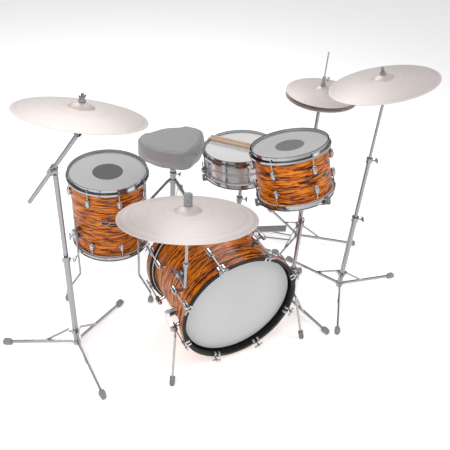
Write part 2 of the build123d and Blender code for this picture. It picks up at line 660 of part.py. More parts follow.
def snare_lugs():
    """Tube lugs on two posts, with a tension rod at each end."""
    reach = snare_half - 26
    tube = Pos(SNARE_RADIUS + ROD_OFFSET, 0, 0) * Cylinder(4.2, 2 * reach)
    for side in (-1, 1):
        foot_piece = Pos(SNARE_RADIUS + ROD_OFFSET / 2, 0, side * (reach - 12)) * Box(ROD_OFFSET + 2, 8, 10)
        tube += foot_piece
    tube -= Cylinder(SNARE_RADIUS + 0.05, 200)
    upper = around(tension_rod(SNARE_RADIUS, snare_half, reach), SNARE_LUG_ANGLES)
    return around(tube, SNARE_LUG_ANGLES) + upper + below(upper)


def snare_strainer():
    block = Pos(SNARE_RADIUS + 7, 0, -38) * Box(20, 24, 26, align=LOW)
    ears = Part()
    for side in (-1, 1):
        ears += Pos(SNARE_RADIUS + 20, side * 8.5, -38) * Box(18, 4, 20, align=LOW)
    pivot = Pos(SNARE_RADIUS + 23, 0, -26) * (Rot(90, 0, 0) * Cylinder(2.5, 24))
    butt = Pos(SNARE_RADIUS + 6, 0, -38) * Box(18, 30, 30, align=LOW)
    cutter = Cylinder(SNARE_RADIUS + 3.05, 200)
    return [Rot(0, 0, STRAINER_ANGLE) * (block + ears + pivot - cutter),
            Rot(0, 0, STRAINER_ANGLE + 180) * (butt - cutter)]


def snare_lever():
    hub = Rot(90, 0, 0) * (Cylinder(5, 12) - Cylinder(2.55, 12))
    arm = Pos(0, 0, 4.6) * Box(4, 8, 44, align=LOW)
    return Rot(0, 0, STRAINER_ANGLE) * (Pos(SNARE_RADIUS + 23, 0, -26) * (hub + arm))


def snare_wires():
    """Strands between two end plates under the lower head."""
    level = -snare_half - FILM - 2.2
    strands = [Pos(0, 3.2 * (index - 5.5), level) * (Rot(0, 90, 0) * Cylinder(1, 280)) for index in range(12)]
    plates = [Pos(side * 148, 0, level) * Box(15.8, 42, 2.4) for side in (-1, 1)]
    return [Rot(0, 0, STRAINER_ANGLE) * piece for piece in strands + plates]


nodes["snare_lugs"] = placed(snare_place, snare_lugs())
nodes["snare_strainer"] = placed(snare_place, snare_strainer())
nodes["snare_lever"] = placed(snare_place, [snare_lever()])
nodes["snare_wires"] = placed(snare_place, snare_wires())
SNARE_HUB_DROP = 45.0
SNARE_STEM = 30.0
snare_pin = point_on(SNARE_RIM, SNARE_FACING, -(SNARE_LENGTH + 2 * RIM_RISE + SNARE_HUB_DROP + SNARE_STEM))
snare_axis = tilt_axis(UP, SNARE_FACING)
pieces, stand_feet = tripod(snare_pin[:2] + SNARE_REACH, 24, 345)
nodes["snare_stand_tripod"] = pieces
feet += stand_feet
nodes["snare_stand_post"] = [post(snare_pin[:2], 150, snare_pin[2] - 20.5, snare_pin, snare_axis)]
nodes["snare_basket"] = basket(snare_place, SNARE_RADIUS, SNARE_LENGTH, snare_pin, snare_axis, (-70, 50, 170),
                               SNARE_HUB_DROP)

STICK_LENGTH = 406.0
STICK_RADIUS = 7.5
STICK_ANGLE = -58.0
STICK_SHIFT = 23.0
STICK_SIDES = (-9.0, 16.0)


def drumstick():
    """Lathe-turned stick along Z with its shoulder and tip at the top."""
    return turned((0, 0), (5.5, 0), (STICK_RADIUS, 2), (STICK_RADIUS, 295), (3, 388), (4.4, 394), (4.2, 402),
                  (2, STICK_LENGTH), (0, STICK_LENGTH))


def sticks():
    level = snare_half + RIM_RISE + STICK_RADIUS + GAP
    pair = []
    for side in STICK_SIDES:
        lay = Rot(0, 0, STICK_ANGLE) * Pos(STICK_SHIFT - STICK_LENGTH / 2, side, level) * Rot(0, 90, 0)
        pair.append(snare_place * lay * drumstick())
    return pair


nodes["sticks"] = sticks()

# Hi-hat stand.
HIHAT_AXIS = HIHAT_STAND[:2]
HIHAT_HEEL_AT = 290.0
HIHAT_TOE_AT = 70.0
HIHAT_HEADING = 143.1
HIHAT_SLOPE = 13.0
HIHAT_ROD_RADIUS = 3.5
HIHAT_ROD_TOP = 1134.0
HIHAT_UPPER_LOW = 345.0
bottom_rim_z = HIHAT_TOP_Z - HIHAT_GAP
seat_z = bottom_rim_z - CYMBAL_14[1] - CYMBAL_14[2]


def hihat_frame():
    """Heel plate, hinge pin and the two rods that join them to the hub."""
    turn = Pos(HIHAT_AXIS[0], HIHAT_AXIS[1], 0) * Rot(0, 0, HIHAT_HEADING)
    plate = Pos(HIHAT_HEEL_AT + 4, 0, 1) * Box(44, 84, 5, align=LOW)
    for side in (-1, 1):
        plate += Pos(HIHAT_HEEL_AT, side * 33, 1) * Box(14, 6, 26, align=LOW)
    plate += rod((HIHAT_HEEL_AT, -36, 20), (HIHAT_HEEL_AT, 36, 20), 3)
    side_rods = [rod((34, side * 22, 9), (HIHAT_HEEL_AT - 18.4, side * 38, 9), 4) for side in (-1, 1)]
    return [turn * piece for piece in [plate] + side_rods]


def hihat_footboard():
    turn = Pos(HIHAT_AXIS[0], HIHAT_AXIS[1], 0) * Rot(0, 0, HIHAT_HEADING)
    slope = math.radians(HIHAT_SLOPE)
    length = (HIHAT_HEEL_AT - HIHAT_TOE_AT) / math.cos(slope)
    way = (-math.cos(slope), 0, math.sin(slope))
    board = spot((HIHAT_HEEL_AT, 0, 20), way, (0, 1, 0)) * Pos(0, 0, 8) * Box(58, 5, length - 8, align=LOW)
    barrel = rod((HIHAT_HEEL_AT, -29, 20), (HIHAT_HEEL_AT, 29, 20), 7)
    bore = rod((HIHAT_HEEL_AT, -30, 20), (HIHAT_HEEL_AT, 30, 20), 3.05)
    return turn * (board + barrel - bore)


def hihat_upper():
    x, y = HIHAT_AXIS
    tube = Pos(x, y, 0) * ring(HIHAT_ROD_RADIUS + 0.1, POST_RADIUS, HIHAT_UPPER_LOW, seat_z - 14)
    cup = Pos(x, y, seat_z - 14) * ring(HIHAT_ROD_RADIUS + 0.1, 24, 0, 4)
    felt = Pos(x, y, seat_z - 9.9) * ring(HIHAT_ROD_RADIUS + 0.3, 17, 0, 9.6)
    return [tube + cup, felt]


def hihat_rod():
    x, y = HIHAT_AXIS
    crown = HIHAT_TOP_Z + CYMBAL_14[1] + CYMBAL_14[2]
    pull = rod((x, y, 160), (x, y, HIHAT_ROD_TOP), HIHAT_ROD_RADIUS)
    bore = HIHAT_ROD_RADIUS + 0.1
    clutch = ring(bore, 5.6, crown - 18, crown + 14) + ring(bore, 9, crown + 12, crown + 46)
    clutch += ring(bore, 10, crown - 20, crown - 14)
    lower_felt = ring(5.8, 11, crown - 13.8, crown - 4)
    upper_felt = ring(5.8, 13, crown + GAP, crown + 11.8)
    screw = wing_screw((9.3, 0, crown + 30), (1, 0, 0), 10)
    return [pull] + [Pos(x, y, 0) * piece for piece in (clutch, lower_felt, upper_felt, screw)]


pieces, stand_feet = tripod(HIHAT_STAND, 24, 489)
nodes["hihat_tripod"] = pieces + hihat_frame()
feet += stand_feet
nodes["hihat_footboard"] = [hihat_footboard()]
nodes["hihat_upper_tube"] = hihat_upper()
nodes["hihat_rod"] = hihat_rod()
nodes["hihat_top_cymbal"] = [Pos(HIHAT_AXIS[0], HIHAT_AXIS[1], HIHAT_TOP_Z) * cymbal(CYMBAL_14)]
nodes["hihat_bottom_cymbal"] = [Pos(HIHAT_AXIS[0], HIHAT_AXIS[1], bottom_rim_z) * (Rot(180, 0, 0) * cymbal(CYMBAL_14))]

# Ride cymbal stand: three tubes.
ride_pin = (RIDE_STAND[0], RIDE_STAND[1], RIDE_CYMBAL_Z - TILTER_DROP * unit(RIDE_FACING).Z)
ride_centre = point_on(ride_pin, RIDE_FACING, TILTER_DROP)
ride_axis = tilt_axis(UP, RIDE_FACING)
pieces, stand_feet = tripod(RIDE_STAND, 24, 473)
nodes["ride_tripod"] = pieces
feet += stand_feet
nodes["ride_middle_tube"] = middle_tube(RIDE_STAND[:2], 310, 803)
nodes["ride_top_tube"] = [top_post(RIDE_STAND[:2], 620, ride_pin, ride_axis)]
nodes["ride_tilter"] = tilter(ride_pin, RIDE_FACING, ride_axis, CYMBAL_18)
nodes["ride_cymbal"] = [spot(ride_centre, RIDE_FACING) * cymbal(CYMBAL_18)]

# Boom stand: two tubes and a boom held in a pivoting clamp.
BOOM_TAIL = 195.0
BOOM_ROD_RADIUS = 7.9
BOOM_BESIDE = 19.0       # boom's axis beside the stand's
BOOM_PIVOT_Z = 962.0
boom_pin = pin_under(BOOM_CYMBAL, BOOM_FACING)
boom_reach = (boom_pin[0] - BOOM_STAND[0], boom_pin[1] - BOOM_STAND[1])
boom_heading = math.atan2(boom_reach[1], boom_reach[0]) + math.asin(BOOM_BESIDE / math.hypot(*boom_reach))
boom_axis = (math.sin(boom_heading), -math.cos(boom_heading), 0)
BOOM_PIVOT = point_on((BOOM_STAND[0], BOOM_STAND[1], BOOM_PIVOT_Z), boom_axis, BOOM_BESIDE)
boom_way = (Vector(*boom_pin) - Vector(*BOOM_PIVOT)).normalized()
boom_tilt_axis = tilt_axis(tuple(boom_way), BOOM_FACING)


def boom_post():
    """Middle tube with the side plate that carries the boom clamp."""
    x, y = BOOM_STAND[:2]
    tube = rod((x, y, 395), (x, y, BOOM_PIVOT_Z - 30), POST_RADIUS)
    head = spot((x, y, BOOM_PIVOT_Z), UP, boom_axis)
    upright = Pos(0, 0, -31) * Box(8, 22, 31, align=LOW)
    disc = Rot(0, 90, 0) * Cylinder(13, 8)
    bore = Rot(0, 90, 0) * Cylinder(4.05, 12)
    return tube + head * (upright + disc - bore)


def boom_clamp():
    frame = spot(BOOM_PIVOT, tuple(boom_way), boom_axis)
    block = Box(28, 26, 30) - Cylinder(BOOM_ROD_RADIUS + SLIDE_FIT, 40)
    pin = Pos(-20, 0, 0) * (Rot(0, 90, 0) * Cylinder(4, 16))
    nut = Pos(-26, 0, 0) * (Rot(0, 90, 0) * Cylinder(9, 5))
    screw = wing_screw((14.1, 0, 0), (1, 0, 0))
    return [frame * (block + pin + nut), frame * screw]


def boom_arm():
    tail = tuple(Vector(*BOOM_PIVOT) - boom_way * BOOM_TAIL)
    end = tuple(Vector(*boom_pin) - boom_way * 20.5)
    arm = rod(tail, end, BOOM_ROD_RADIUS)
    return [arm + spot(boom_pin, tuple(boom_way), boom_tilt_axis) * fork()]


pieces, stand_feet = tripod(BOOM_STAND, 24, 541)
nodes["boom_tripod"] = pieces
feet += stand_feet
nodes["boom_middle_tube"] = [boom_post()]
nodes["boom_clamp"] = boom_clamp()
nodes["boom_arm"] = boom_arm()
nodes["boom_tilter"] = tilter(boom_pin, BOOM_FACING, boom_tilt_axis, CYMBAL_18)
nodes["boom_cymbal"] = [spot(BOOM_CYMBAL, BOOM_FACING) * cymbal(CYMBAL_18)]

# Throne.
THRONE_TUBE = 16.0
THRONE_POST = 12.5
SEAT_LOW = SEAT_TOP - SEAT_THICKNESS


def seat_cushion():
    """Rounded triangular cushion: two wide lobes behind, a nose towards the drums."""
    lobes = Sketch() + [Pos(x, y) * Circle(radius) for x, y, radius in ((-112, 44, 95), (112, 44, 95), (0, -110, 82))]
    pad = extrude(make_hull(lobes.edges()), SEAT_THICKNESS)
    return fillet(pad.faces().sort_by(Axis.Z)[-1].edges(), 22)


pieces, stand_feet = tripod(THRONE_STAND, 60, 300, leg_z=245.0, stay_z=96.0, join=0.5, leg=(20.0, 6.0),
                            tube=THRONE_TUBE, bore=THRONE_POST + SLIDE_FIT)
nodes["throne_tripod"] = pieces
feet += stand_feet
throne_x, throne_y = THRONE_STAND[:2]
nodes["throne_post"] = [Pos(throne_x, throne_y, 120) * Cylinder(THRONE_POST, SEAT_LOW - 26 - 120, align=LOW),
                        Pos(throne_x, throne_y, 311) * ring(THRONE_POST + 0.1, 19, 0, 16)]
nodes["throne_seat_base"] = [Pos(throne_x, throne_y, SEAT_LOW - 25.7) * Cylinder(20, 18, align=LOW)
                             + Pos(throne_x, throne_y, SEAT_LOW - 7.7) * Box(200, 130, 7.4, align=LOW)]
nodes["throne_seat"] = [Pos(throne_x, throne_y, SEAT_LOW) * seat_cushion()]
nodes["rubber_feet"] = feet

# ---- origin to the bottom centre of the bounding box ----
solids = {name: [solid for piece in pieces for solid in piece.solids()] for name, pieces in nodes.items()}
whole = Compound([solid for group in solids.values() for solid in group]).bounding_box()
shift = Pos(-(whole.min.X + whole.max.X) / 2, -(whole.min.Y + whole.max.Y) / 2, -whole.min.Z)
os.makedirs("parts", exist_ok=True)
for name, group in solids.items():
    solids[name] = [shift * solid for solid in group]
    export_step(Compound(solids[name]), "parts/" + name + ".step")
print(len(solids), "nodes,", sum(len(group) for group in solids.values()), "solids")
print("box", whole.min, whole.max)
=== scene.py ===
import json
import math

import bmesh
import bpy
from mathutils import Matrix, Vector


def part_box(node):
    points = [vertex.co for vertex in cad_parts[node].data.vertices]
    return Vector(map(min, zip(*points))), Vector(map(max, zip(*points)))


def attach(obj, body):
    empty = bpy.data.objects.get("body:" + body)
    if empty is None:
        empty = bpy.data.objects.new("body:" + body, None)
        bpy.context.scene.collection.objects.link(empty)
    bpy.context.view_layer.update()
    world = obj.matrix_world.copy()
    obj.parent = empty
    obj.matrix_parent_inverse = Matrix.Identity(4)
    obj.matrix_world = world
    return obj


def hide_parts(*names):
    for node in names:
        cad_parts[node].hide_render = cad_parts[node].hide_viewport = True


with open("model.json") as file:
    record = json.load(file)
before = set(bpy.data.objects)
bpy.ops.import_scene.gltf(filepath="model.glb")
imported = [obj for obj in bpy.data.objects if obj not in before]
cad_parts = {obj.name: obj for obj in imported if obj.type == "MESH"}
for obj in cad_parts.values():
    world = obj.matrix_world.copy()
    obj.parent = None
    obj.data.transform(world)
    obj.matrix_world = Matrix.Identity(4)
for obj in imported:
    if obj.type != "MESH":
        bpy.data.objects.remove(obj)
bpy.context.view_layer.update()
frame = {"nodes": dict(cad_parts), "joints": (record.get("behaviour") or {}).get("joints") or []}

# An acoustic drum kit in a pale studio, in the frame of the CAD model.
# Places and materials are in metres, the outlines of pieces in mm.

NODES = frame["nodes"]
JOINTS = {joint["name"]: joint for joint in frame["joints"]}
ROOT = "bass_drum_and_floor_stands"
MM = 0.001
Z_TO_X = Matrix.Rotation(math.pi / 2, 4, "Y")
Z_TO_MINUS_Y = Matrix.Rotation(math.pi / 2, 4, "X")

# Radii and half lengths of the drums, in mm.
BASS_RADIUS = 254.0
TOM_RADIUS = 165.1
TOM_HALF = 111.0
DRUM_14_RADIUS = 177.8
FLOOR_TOM_HALF = 190.5
SNARE_HALF = 63.5

# Cymbals: radius in metres, height of the bow and of the bell in mm.
CYMBAL_14 = (0.1778, 17, 16)
CYMBAL_18 = (0.2286, 24.0, 17.0)
CYMBAL_20 = (0.254, 26.0, 19.0)


def middle(node):
    low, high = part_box(node)
    return (Vector(low) + Vector(high)) / 2


def frame_at(centre, z_axis, x_hint=(1, 0, 0)):
    """Matrix whose Z runs along z_axis and whose X is as near x_hint as it can be."""
    z = Vector(z_axis).normalized()
    x = Vector(x_hint)
    x = (x - z * x.dot(z)).normalized()
    y = z.cross(x)
    matrix = Matrix((x, y, z)).transposed().to_4x4()
    return Matrix.Translation(Vector(centre)) @ matrix


TOM_FACING = (-0.146, 0.238, 0.96)
SNARE_FACING = JOINTS["sticks_lift"]["axis"]
BASS = frame_at(middle("bass_drum_shell"), (0, -1, 0))
TOM = frame_at(middle("tom_hoops"), TOM_FACING)
FLOOR_TOM = frame_at(middle("floor_tom_hoops"), (0, 0, 1))
SNARE = frame_at(middle("snare_hoops"), SNARE_FACING)


# ---------------------------------------------------------------- shader building blocks

class Shader:
    """A material with small helpers for its node tree."""

    def __init__(self, name, roughness=0.4, metallic=0.0, colour=(0.8, 0.8, 0.8), coat=0.0):
        self.material = bpy.data.materials.new(name)
        self.material.use_nodes = True
        self.tree = self.material.node_tree
        self.bsdf = self.tree.nodes["Principled BSDF"]
        self.bsdf.inputs["Roughness"].default_value = roughness
        self.bsdf.inputs["Metallic"].default_value = metallic
        self.bsdf.inputs["Base Color"].default_value = (*colour, 1)
        self.bsdf.inputs["Coat Weight"].default_value = coat
        self.bsdf.inputs["Coat Roughness"].default_value = 0.05
        self.place = self.new("ShaderNodeTexCoord").outputs["Object"]

    def new(self, kind, **settings):
        node = self.tree.nodes.new(kind)
        for key, value in settings.items():
            setattr(node, key, value)
        return node

    def feed(self, socket, value):
        if isinstance(value, bpy.types.NodeSocket):
            self.tree.links.new(value, socket)
        else:
            socket.default_value = value

    def math(self, operation, *values):
        node = self.new("ShaderNodeMath", operation=operation)
        for socket, value in zip(node.inputs, values):
            self.feed(socket, value)
        return node.outputs[0]

    def vector(self, operation, *values):
        node = self.new("ShaderNodeVectorMath", operation=operation)
        for socket, value in zip(node.inputs, values):
            self.feed(socket, value)
        return node.outputs["Value" if operation in ("DOT_PRODUCT", "LENGTH") else "Vector"]

    def scaled(self, vector, factor):
        node = self.new("ShaderNodeVectorMath", operation="SCALE")
        self.feed(node.inputs[0], vector)
        self.feed(node.inputs["Scale"], factor)
        return node.outputs["Vector"]

    def noise(self, vector, scale, detail=3.0, distortion=0.0, roughness=0.5):
        node = self.new("ShaderNodeTexNoise")
        self.feed(node.inputs["Vector"], vector)
        node.inputs["Scale"].default_value = scale
        node.inputs["Detail"].default_value = detail
        node.inputs["Distortion"].default_value = distortion
        node.inputs["Roughness"].default_value = roughness
        return node.outputs["Fac"]

    def line_noise(self, value, scale, detail=2.0):
        node = self.new("ShaderNodeTexNoise", noise_dimensions="1D")
        self.feed(node.inputs["W"], value)
        node.inputs["Scale"].default_value = scale
        node.inputs["Detail"].default_value = detail
        return node.outputs["Fac"]

    def ramp(self, value, *stops, ease="LINEAR"):
        node = self.new("ShaderNodeValToRGB")
        node.color_ramp.interpolation = ease
        self.feed(node.inputs["Fac"], value)
        elements = node.color_ramp.elements
        while len(elements) < len(stops):
            elements.new(0.5)
        for element, (position, colour) in zip(elements, stops):
            element.position = position
            element.color = (*colour, 1) if isinstance(colour, tuple) else (colour, colour, colour, 1)
        return node.outputs["Color"]

    def mix(self, factor, first, second):
        node = self.new("ShaderNodeMix", data_type="RGBA")
        self.feed(node.inputs["Factor"], factor)
        for socket, colour in ((node.inputs[6], first), (node.inputs[7], second)):
            self.feed(socket, colour if isinstance(colour, bpy.types.NodeSocket) else (*colour, 1))
        return node.outputs[2]

    def spread(self, value, low, high):
        """value, from 0 to 1, mapped to low to high."""
        node = self.new("ShaderNodeMapRange")
        self.feed(node.inputs["Value"], value)
        node.inputs["To Min"].default_value = low
        node.inputs["To Max"].default_value = high
        return node.outputs["Result"]

    def colour(self, value):
        self.feed(self.bsdf.inputs["Base Color"], value)

    def roughness(self, value):
        self.feed(self.bsdf.inputs["Roughness"], value)

    def bump(self, height, distance, strength=1.0):
        node = self.new("ShaderNodeBump")
        node.inputs["Strength"].default_value = strength
        node.inputs["Distance"].default_value = distance
        self.feed(node.inputs["Height"], height)
        self.feed(self.bsdf.inputs["Normal"], node.outputs["Normal"])

    def weighted(self, *pairs):
        """Sum of (value, weight) pairs."""
        total = None
        for value, weight in pairs:
            term = self.math("MULTIPLY", value, weight)
            total = term if total is None else self.math("ADD", total, term)
        return total

    def around_axis(self, matrix):
        """Distance from the matrix's Z axis, height along it, and the offset across it and along it."""
        centre, axis = matrix.translation, matrix.to_3x3() @ Vector((0, 0, 1))
        offset = self.vector("SUBTRACT", self.place, tuple(centre))
        height = self.vector("DOT_PRODUCT", offset, tuple(axis))
        along = self.scaled(tuple(axis), height)
        across = self.vector("SUBTRACT", offset, along)
        return self.vector("LENGTH", across), height, across, along


# The wrap's tones, from the dark veins to bright orange; the last stop, light amber, is a painted highlight
# on the ripple crests.
AMBER_AND_GLINT_STOPS = (
    (0.435, (0.012, 0.004, 0.003)),
    (0.475, (0.16, 0.035, 0.004)),
    (0.50, (0.74, 0.13, 0.002)),
    (0.575, (0.98, 0.28, 0.002)),
    # painted highlight: light amber glints put on the brightest crests of the ripple noise
    (0.70, (1.0, 0.45, 0.02)),
)
# Noise cells per metre across the drum's axis and along it.
BROAD_RIPPLE = (14.0, 190.0)
FINE_RIPPLE = (26.0, 420.0)
# The bass hoops' inlaid strip: depth, and its two edges from the drum's middle, in metres.
INLAY_DEPTH = 0.004
INLAY_LOW = 0.1755
INLAY_HIGH = 0.2005
HOOP_OUTSIDE = 0.277
HOOP_BLACK = (0.006, 0.0055, 0.0055)
HOOP_BLACK_WORN = (0.014, 0.012, 0.011)


def ripple(shader, matrix):
    """Ripples that run round a drum: long across the axis and short along it."""
    radius, height, across, along = shader.around_axis(matrix)
    broad_place, fine_place = (
        shader.vector("ADD", shader.scaled(across, crosswise), shader.scaled(along, lengthwise))
        for crosswise, lengthwise in (BROAD_RIPPLE, FINE_RIPPLE)
    )
    broad = shader.noise(broad_place, 1.0, detail=3.0, distortion=0.8, roughness=0.6)
    fine = shader.noise(fine_place, 1.0, detail=2.0, distortion=0.5)
    value = shader.weighted((broad, 0.72), (fine, 0.28))
    return shader.ramp(value, *AMBER_AND_GLINT_STOPS), value, radius, height


def wrap_material(name, matrix):
    """Satin plastic wrap."""
    shader = Shader(name, roughness=0.4, coat=0.15)
    shader.bsdf.inputs["Specular IOR Level"].default_value = 0.3
    colour, value, _, _ = ripple(shader, matrix)
    shader.colour(colour)
    shader.bump(value, 0.0003, 0.15)
    return shader.material


def inlaid_hoop_material(name, matrix):
    """Black lacquer with a strip of the wrap let into the outside of the hoop."""
    shader = Shader(name, roughness=0.3, coat=0.0)
    shader.bsdf.inputs["Specular IOR Level"].default_value = 0.25
    colour, value, radius, height = ripple(shader, matrix)
    depth = shader.math("ABSOLUTE", height)
    above = shader.math("GREATER_THAN", depth, INLAY_LOW)
    below = shader.math("LESS_THAN", depth, INLAY_HIGH)
    strip = shader.math("MULTIPLY", above, below)
    outside = shader.math("GREATER_THAN", radius, HOOP_OUTSIDE - INLAY_DEPTH)
    strip = shader.math("MULTIPLY", strip, outside)
    grain = shader.noise(shader.place, 60.0, detail=4.0)
    black = shader.ramp(grain, (0.3, HOOP_BLACK), (0.8, HOOP_BLACK_WORN))
    shader.colour(shader.mix(strip, black, colour))
    shader.roughness(shader.spread(grain, 0.24, 0.36))
    return shader.material


COLLAR_LINE = (0.72, 0.72, 0.74)
NO_LINE = 9.0            # metres, beyond every head


def head_material(name, matrix, tone, collar_radius, dot=0.0, dot_tone=0.15, rough=0.45, rim=1.25,
                  line=NO_LINE):
    """Coated film with a collar of another tone, a line round it, and a dot on the batter side."""
    shader = Shader(name, roughness=rough)
    radius, height, _, _ = shader.around_axis(matrix)
    mottle = shader.noise(shader.place, 900.0, detail=3.0)
    cloud = shader.noise(shader.place, 9.0, detail=2.0)
    shade = shader.spread(shader.weighted((cloud, 0.7), (mottle, 0.3)), tone * 0.95, tone * 1.05)
    film = shader.new("ShaderNodeCombineColor")
    for socket in ("Red", "Green", "Blue"):
        shader.feed(film.inputs[socket], shade)
    colour = film.outputs["Color"]
    collar = shader.math("GREATER_THAN", radius, collar_radius)
    colour = shader.mix(collar, colour, (tone * rim,) * 3)
    edge_line = shader.math("GREATER_THAN", radius, line)
    colour = shader.mix(edge_line, colour, COLLAR_LINE)
    if dot:
        within = shader.math("LESS_THAN", radius, dot)
        batter_side = shader.math("GREATER_THAN", height, 0.0)
        colour = shader.mix(shader.math("MULTIPLY", within, batter_side), colour, (dot_tone,) * 3)
    shader.colour(colour)
    shader.bump(mottle, 0.0001, 0.35)
    return shader.material


def metal_material(name, colour, rough, metallic=1.0, scale=40.0, brushed=False):
    """Plated metal, with the faint cloudiness that handling leaves."""
    shader = Shader(name, roughness=rough, metallic=metallic, colour=colour)
    place = shader.vector("MULTIPLY", shader.place, (1.0, 1.0, 0.08)) if brushed else shader.place
    cloud = shader.noise(place, scale, detail=5.0)
    grime = shader.noise(shader.place, 7.0, detail=3.0)
    blend = shader.weighted((cloud, 0.5), (grime, 0.5))
    shader.roughness(shader.spread(blend, rough * 0.6, rough * 1.4))
    dark = tuple(c * 0.9 for c in colour)
    shader.colour(shader.mix(shader.spread(grime, 0.0, 1.0), dark, colour))
    shader.bump(cloud, 0.00005, 0.2)
    return shader.material


CAPPED_METALLIC = 0.75
CAP_RUBBER = (0.24, 0.24, 0.245)
CAP_FELT = (0.70, 0.69, 0.66)


def capped_metal(name, matrix, reach=0.0, level=None, soft=CAP_RUBBER):
    """Satin metal that is rubber or felt beyond a distance from an axis, or below a level on it."""
    shader = Shader(name, roughness=0.26, metallic=CAPPED_METALLIC)
    radius, height, _, _ = shader.around_axis(matrix)
    if level is None:
        mask = shader.math("GREATER_THAN", radius, reach)
    else:
        mask = shader.math("LESS_THAN", height, level)
    cloud = shader.noise(shader.place, 150.0, detail=4.0)
    metal = shader.ramp(cloud, (0.3, (0.47, 0.47, 0.49)), (0.7, (0.54, 0.54, 0.56)))
    shader.colour(shader.mix(mask, metal, soft))
    duller = shader.math("MULTIPLY", mask, 0.4)
    shader.roughness(shader.math("ADD", shader.spread(cloud, 0.2, 0.36), duller))
    lost = shader.math("MULTIPLY", mask, CAPPED_METALLIC)
    shader.feed(shader.bsdf.inputs["Metallic"], shader.math("SUBTRACT", CAPPED_METALLIC, lost))
    shader.bump(cloud, 0.0001, 0.3)
    return shader.material


BRONZE_STOPS = ((0.25, (0.71, 0.63, 0.60)), (0.5, (0.81, 0.735, 0.71)), (0.75, (0.88, 0.82, 0.80)))
BELL_BRONZE = (0.68, 0.59, 0.55)
BELL_SHARE = 0.205       # the bell's part of the cymbal's radius


def cymbal_material(name, matrix, radius):
    """Lathed bronze: fine rings, broader tone bands and shallow hammering."""
    shader = Shader(name, roughness=0.5, metallic=0.35)
    distance, _, _, _ = shader.around_axis(matrix)
    fine = shader.line_noise(distance, 1500.0, detail=3.0)
    bands = shader.line_noise(distance, 60.0, detail=2.0)
    cloud = shader.noise(shader.place, 5.0, detail=3.0)
    value = shader.weighted((fine, 0.35), (bands, 0.4), (cloud, 0.25))
    colour = shader.ramp(value, *BRONZE_STOPS)
    bell = shader.math("LESS_THAN", distance, radius * BELL_SHARE)
    shader.colour(shader.mix(shader.math("MULTIPLY", bell, 0.5), colour, BELL_BRONZE))
    shader.roughness(shader.spread(bands, 0.42, 0.58))
    dents = shader.new("ShaderNodeTexVoronoi", feature="SMOOTH_F1")
    shader.feed(dents.inputs["Vector"], shader.place)
    dents.inputs["Scale"].default_value = 45.0
    shader.bump(shader.weighted((fine, 0.6), (dents.outputs["Distance"], 0.8)), 0.0004, 0.45)
    return shader.material


def mottled_material(name, dark, light, rough, scale, depth, strength=0.5, stretch=(1, 1, 1), sheen=0.0):
    """Rubber, felt, enamel or wood: two tones, a grain and a matching relief."""
    shader = Shader(name, roughness=rough)
    place = shader.vector("MULTIPLY", shader.place, stretch)
    grain = shader.noise(place, scale, detail=5.0)
    broad = shader.noise(place, scale * 0.06, detail=2.0)
    blend = shader.weighted((grain, 0.6), (broad, 0.4))
    shader.colour(shader.ramp(blend, (0.32, dark), (0.68, light)))
    shader.roughness(shader.spread(grain, rough * 0.85, min(1.0, rough * 1.15)))
    shader.bsdf.inputs["Sheen Weight"].default_value = sheen
    shader.bump(grain, depth, strength)
    return shader.material


def vinyl_material():
    """Upholstery vinyl with a pebbled grain."""
    shader = Shader("vinyl", roughness=0.5, coat=0.0)
    cells = shader.new("ShaderNodeTexVoronoi", feature="DISTANCE_TO_EDGE")
    shader.feed(cells.inputs["Vector"], shader.place)
    cells.inputs["Scale"].default_value = 520.0
    crease = shader.noise(shader.place, 60.0, detail=5.0)
    pebble = shader.math("MINIMUM", shader.math("MULTIPLY", cells.outputs["Distance"], 6.0), 1.0)
    blend = shader.weighted((pebble, 0.6), (crease, 0.4))
    shader.colour(shader.ramp(blend, (0.2, (0.31, 0.31, 0.315)), (0.8, (0.44, 0.44, 0.445))))
    shader.roughness(shader.spread(blend, 0.62, 0.42))
    shader.bump(blend, 0.0004, 0.5)
    return shader.material


CHROME = metal_material("chrome", (0.50, 0.50, 0.52), 0.12)
PALE_STEEL = metal_material("pale_steel", (0.42, 0.42, 0.44), 0.24, metallic=0.85, scale=220.0,
                            brushed=True)
SNARE_STEEL = metal_material("snare_shell_plate", (0.74, 0.74, 0.75), 0.30, metallic=0.6, scale=60.0)
DARK_STEEL = metal_material("dark_plate", (0.32, 0.32, 0.33), 0.45, metallic=0.5, scale=120.0)
RUBBER = mottled_material("rubber", (0.27, 0.27, 0.275), (0.38, 0.38, 0.385), 0.6, 400.0, 0.0002)
FELT = mottled_material("felt", (0.26, 0.26, 0.265), (0.40, 0.40, 0.405), 0.95, 900.0, 0.0008, 0.8,
                        sheen=0.3)
VINYL = vinyl_material()
MAPLE = mottled_material("maple", (0.56, 0.38, 0.25), (0.78, 0.61, 0.46), 0.45, 160.0, 0.0001, 0.3,
                         stretch=(0.35, 1.0, 1.0))
ENAMEL = mottled_material("badge_enamel", (0.02, 0.02, 0.02), (0.05, 0.05, 0.05), 0.25, 200.0, 0.00005, 0.2)
WIRE = metal_material("snare_wire", (0.70, 0.70, 0.72), 0.3)


# ---------------------------------------------------------------- mesh building blocks

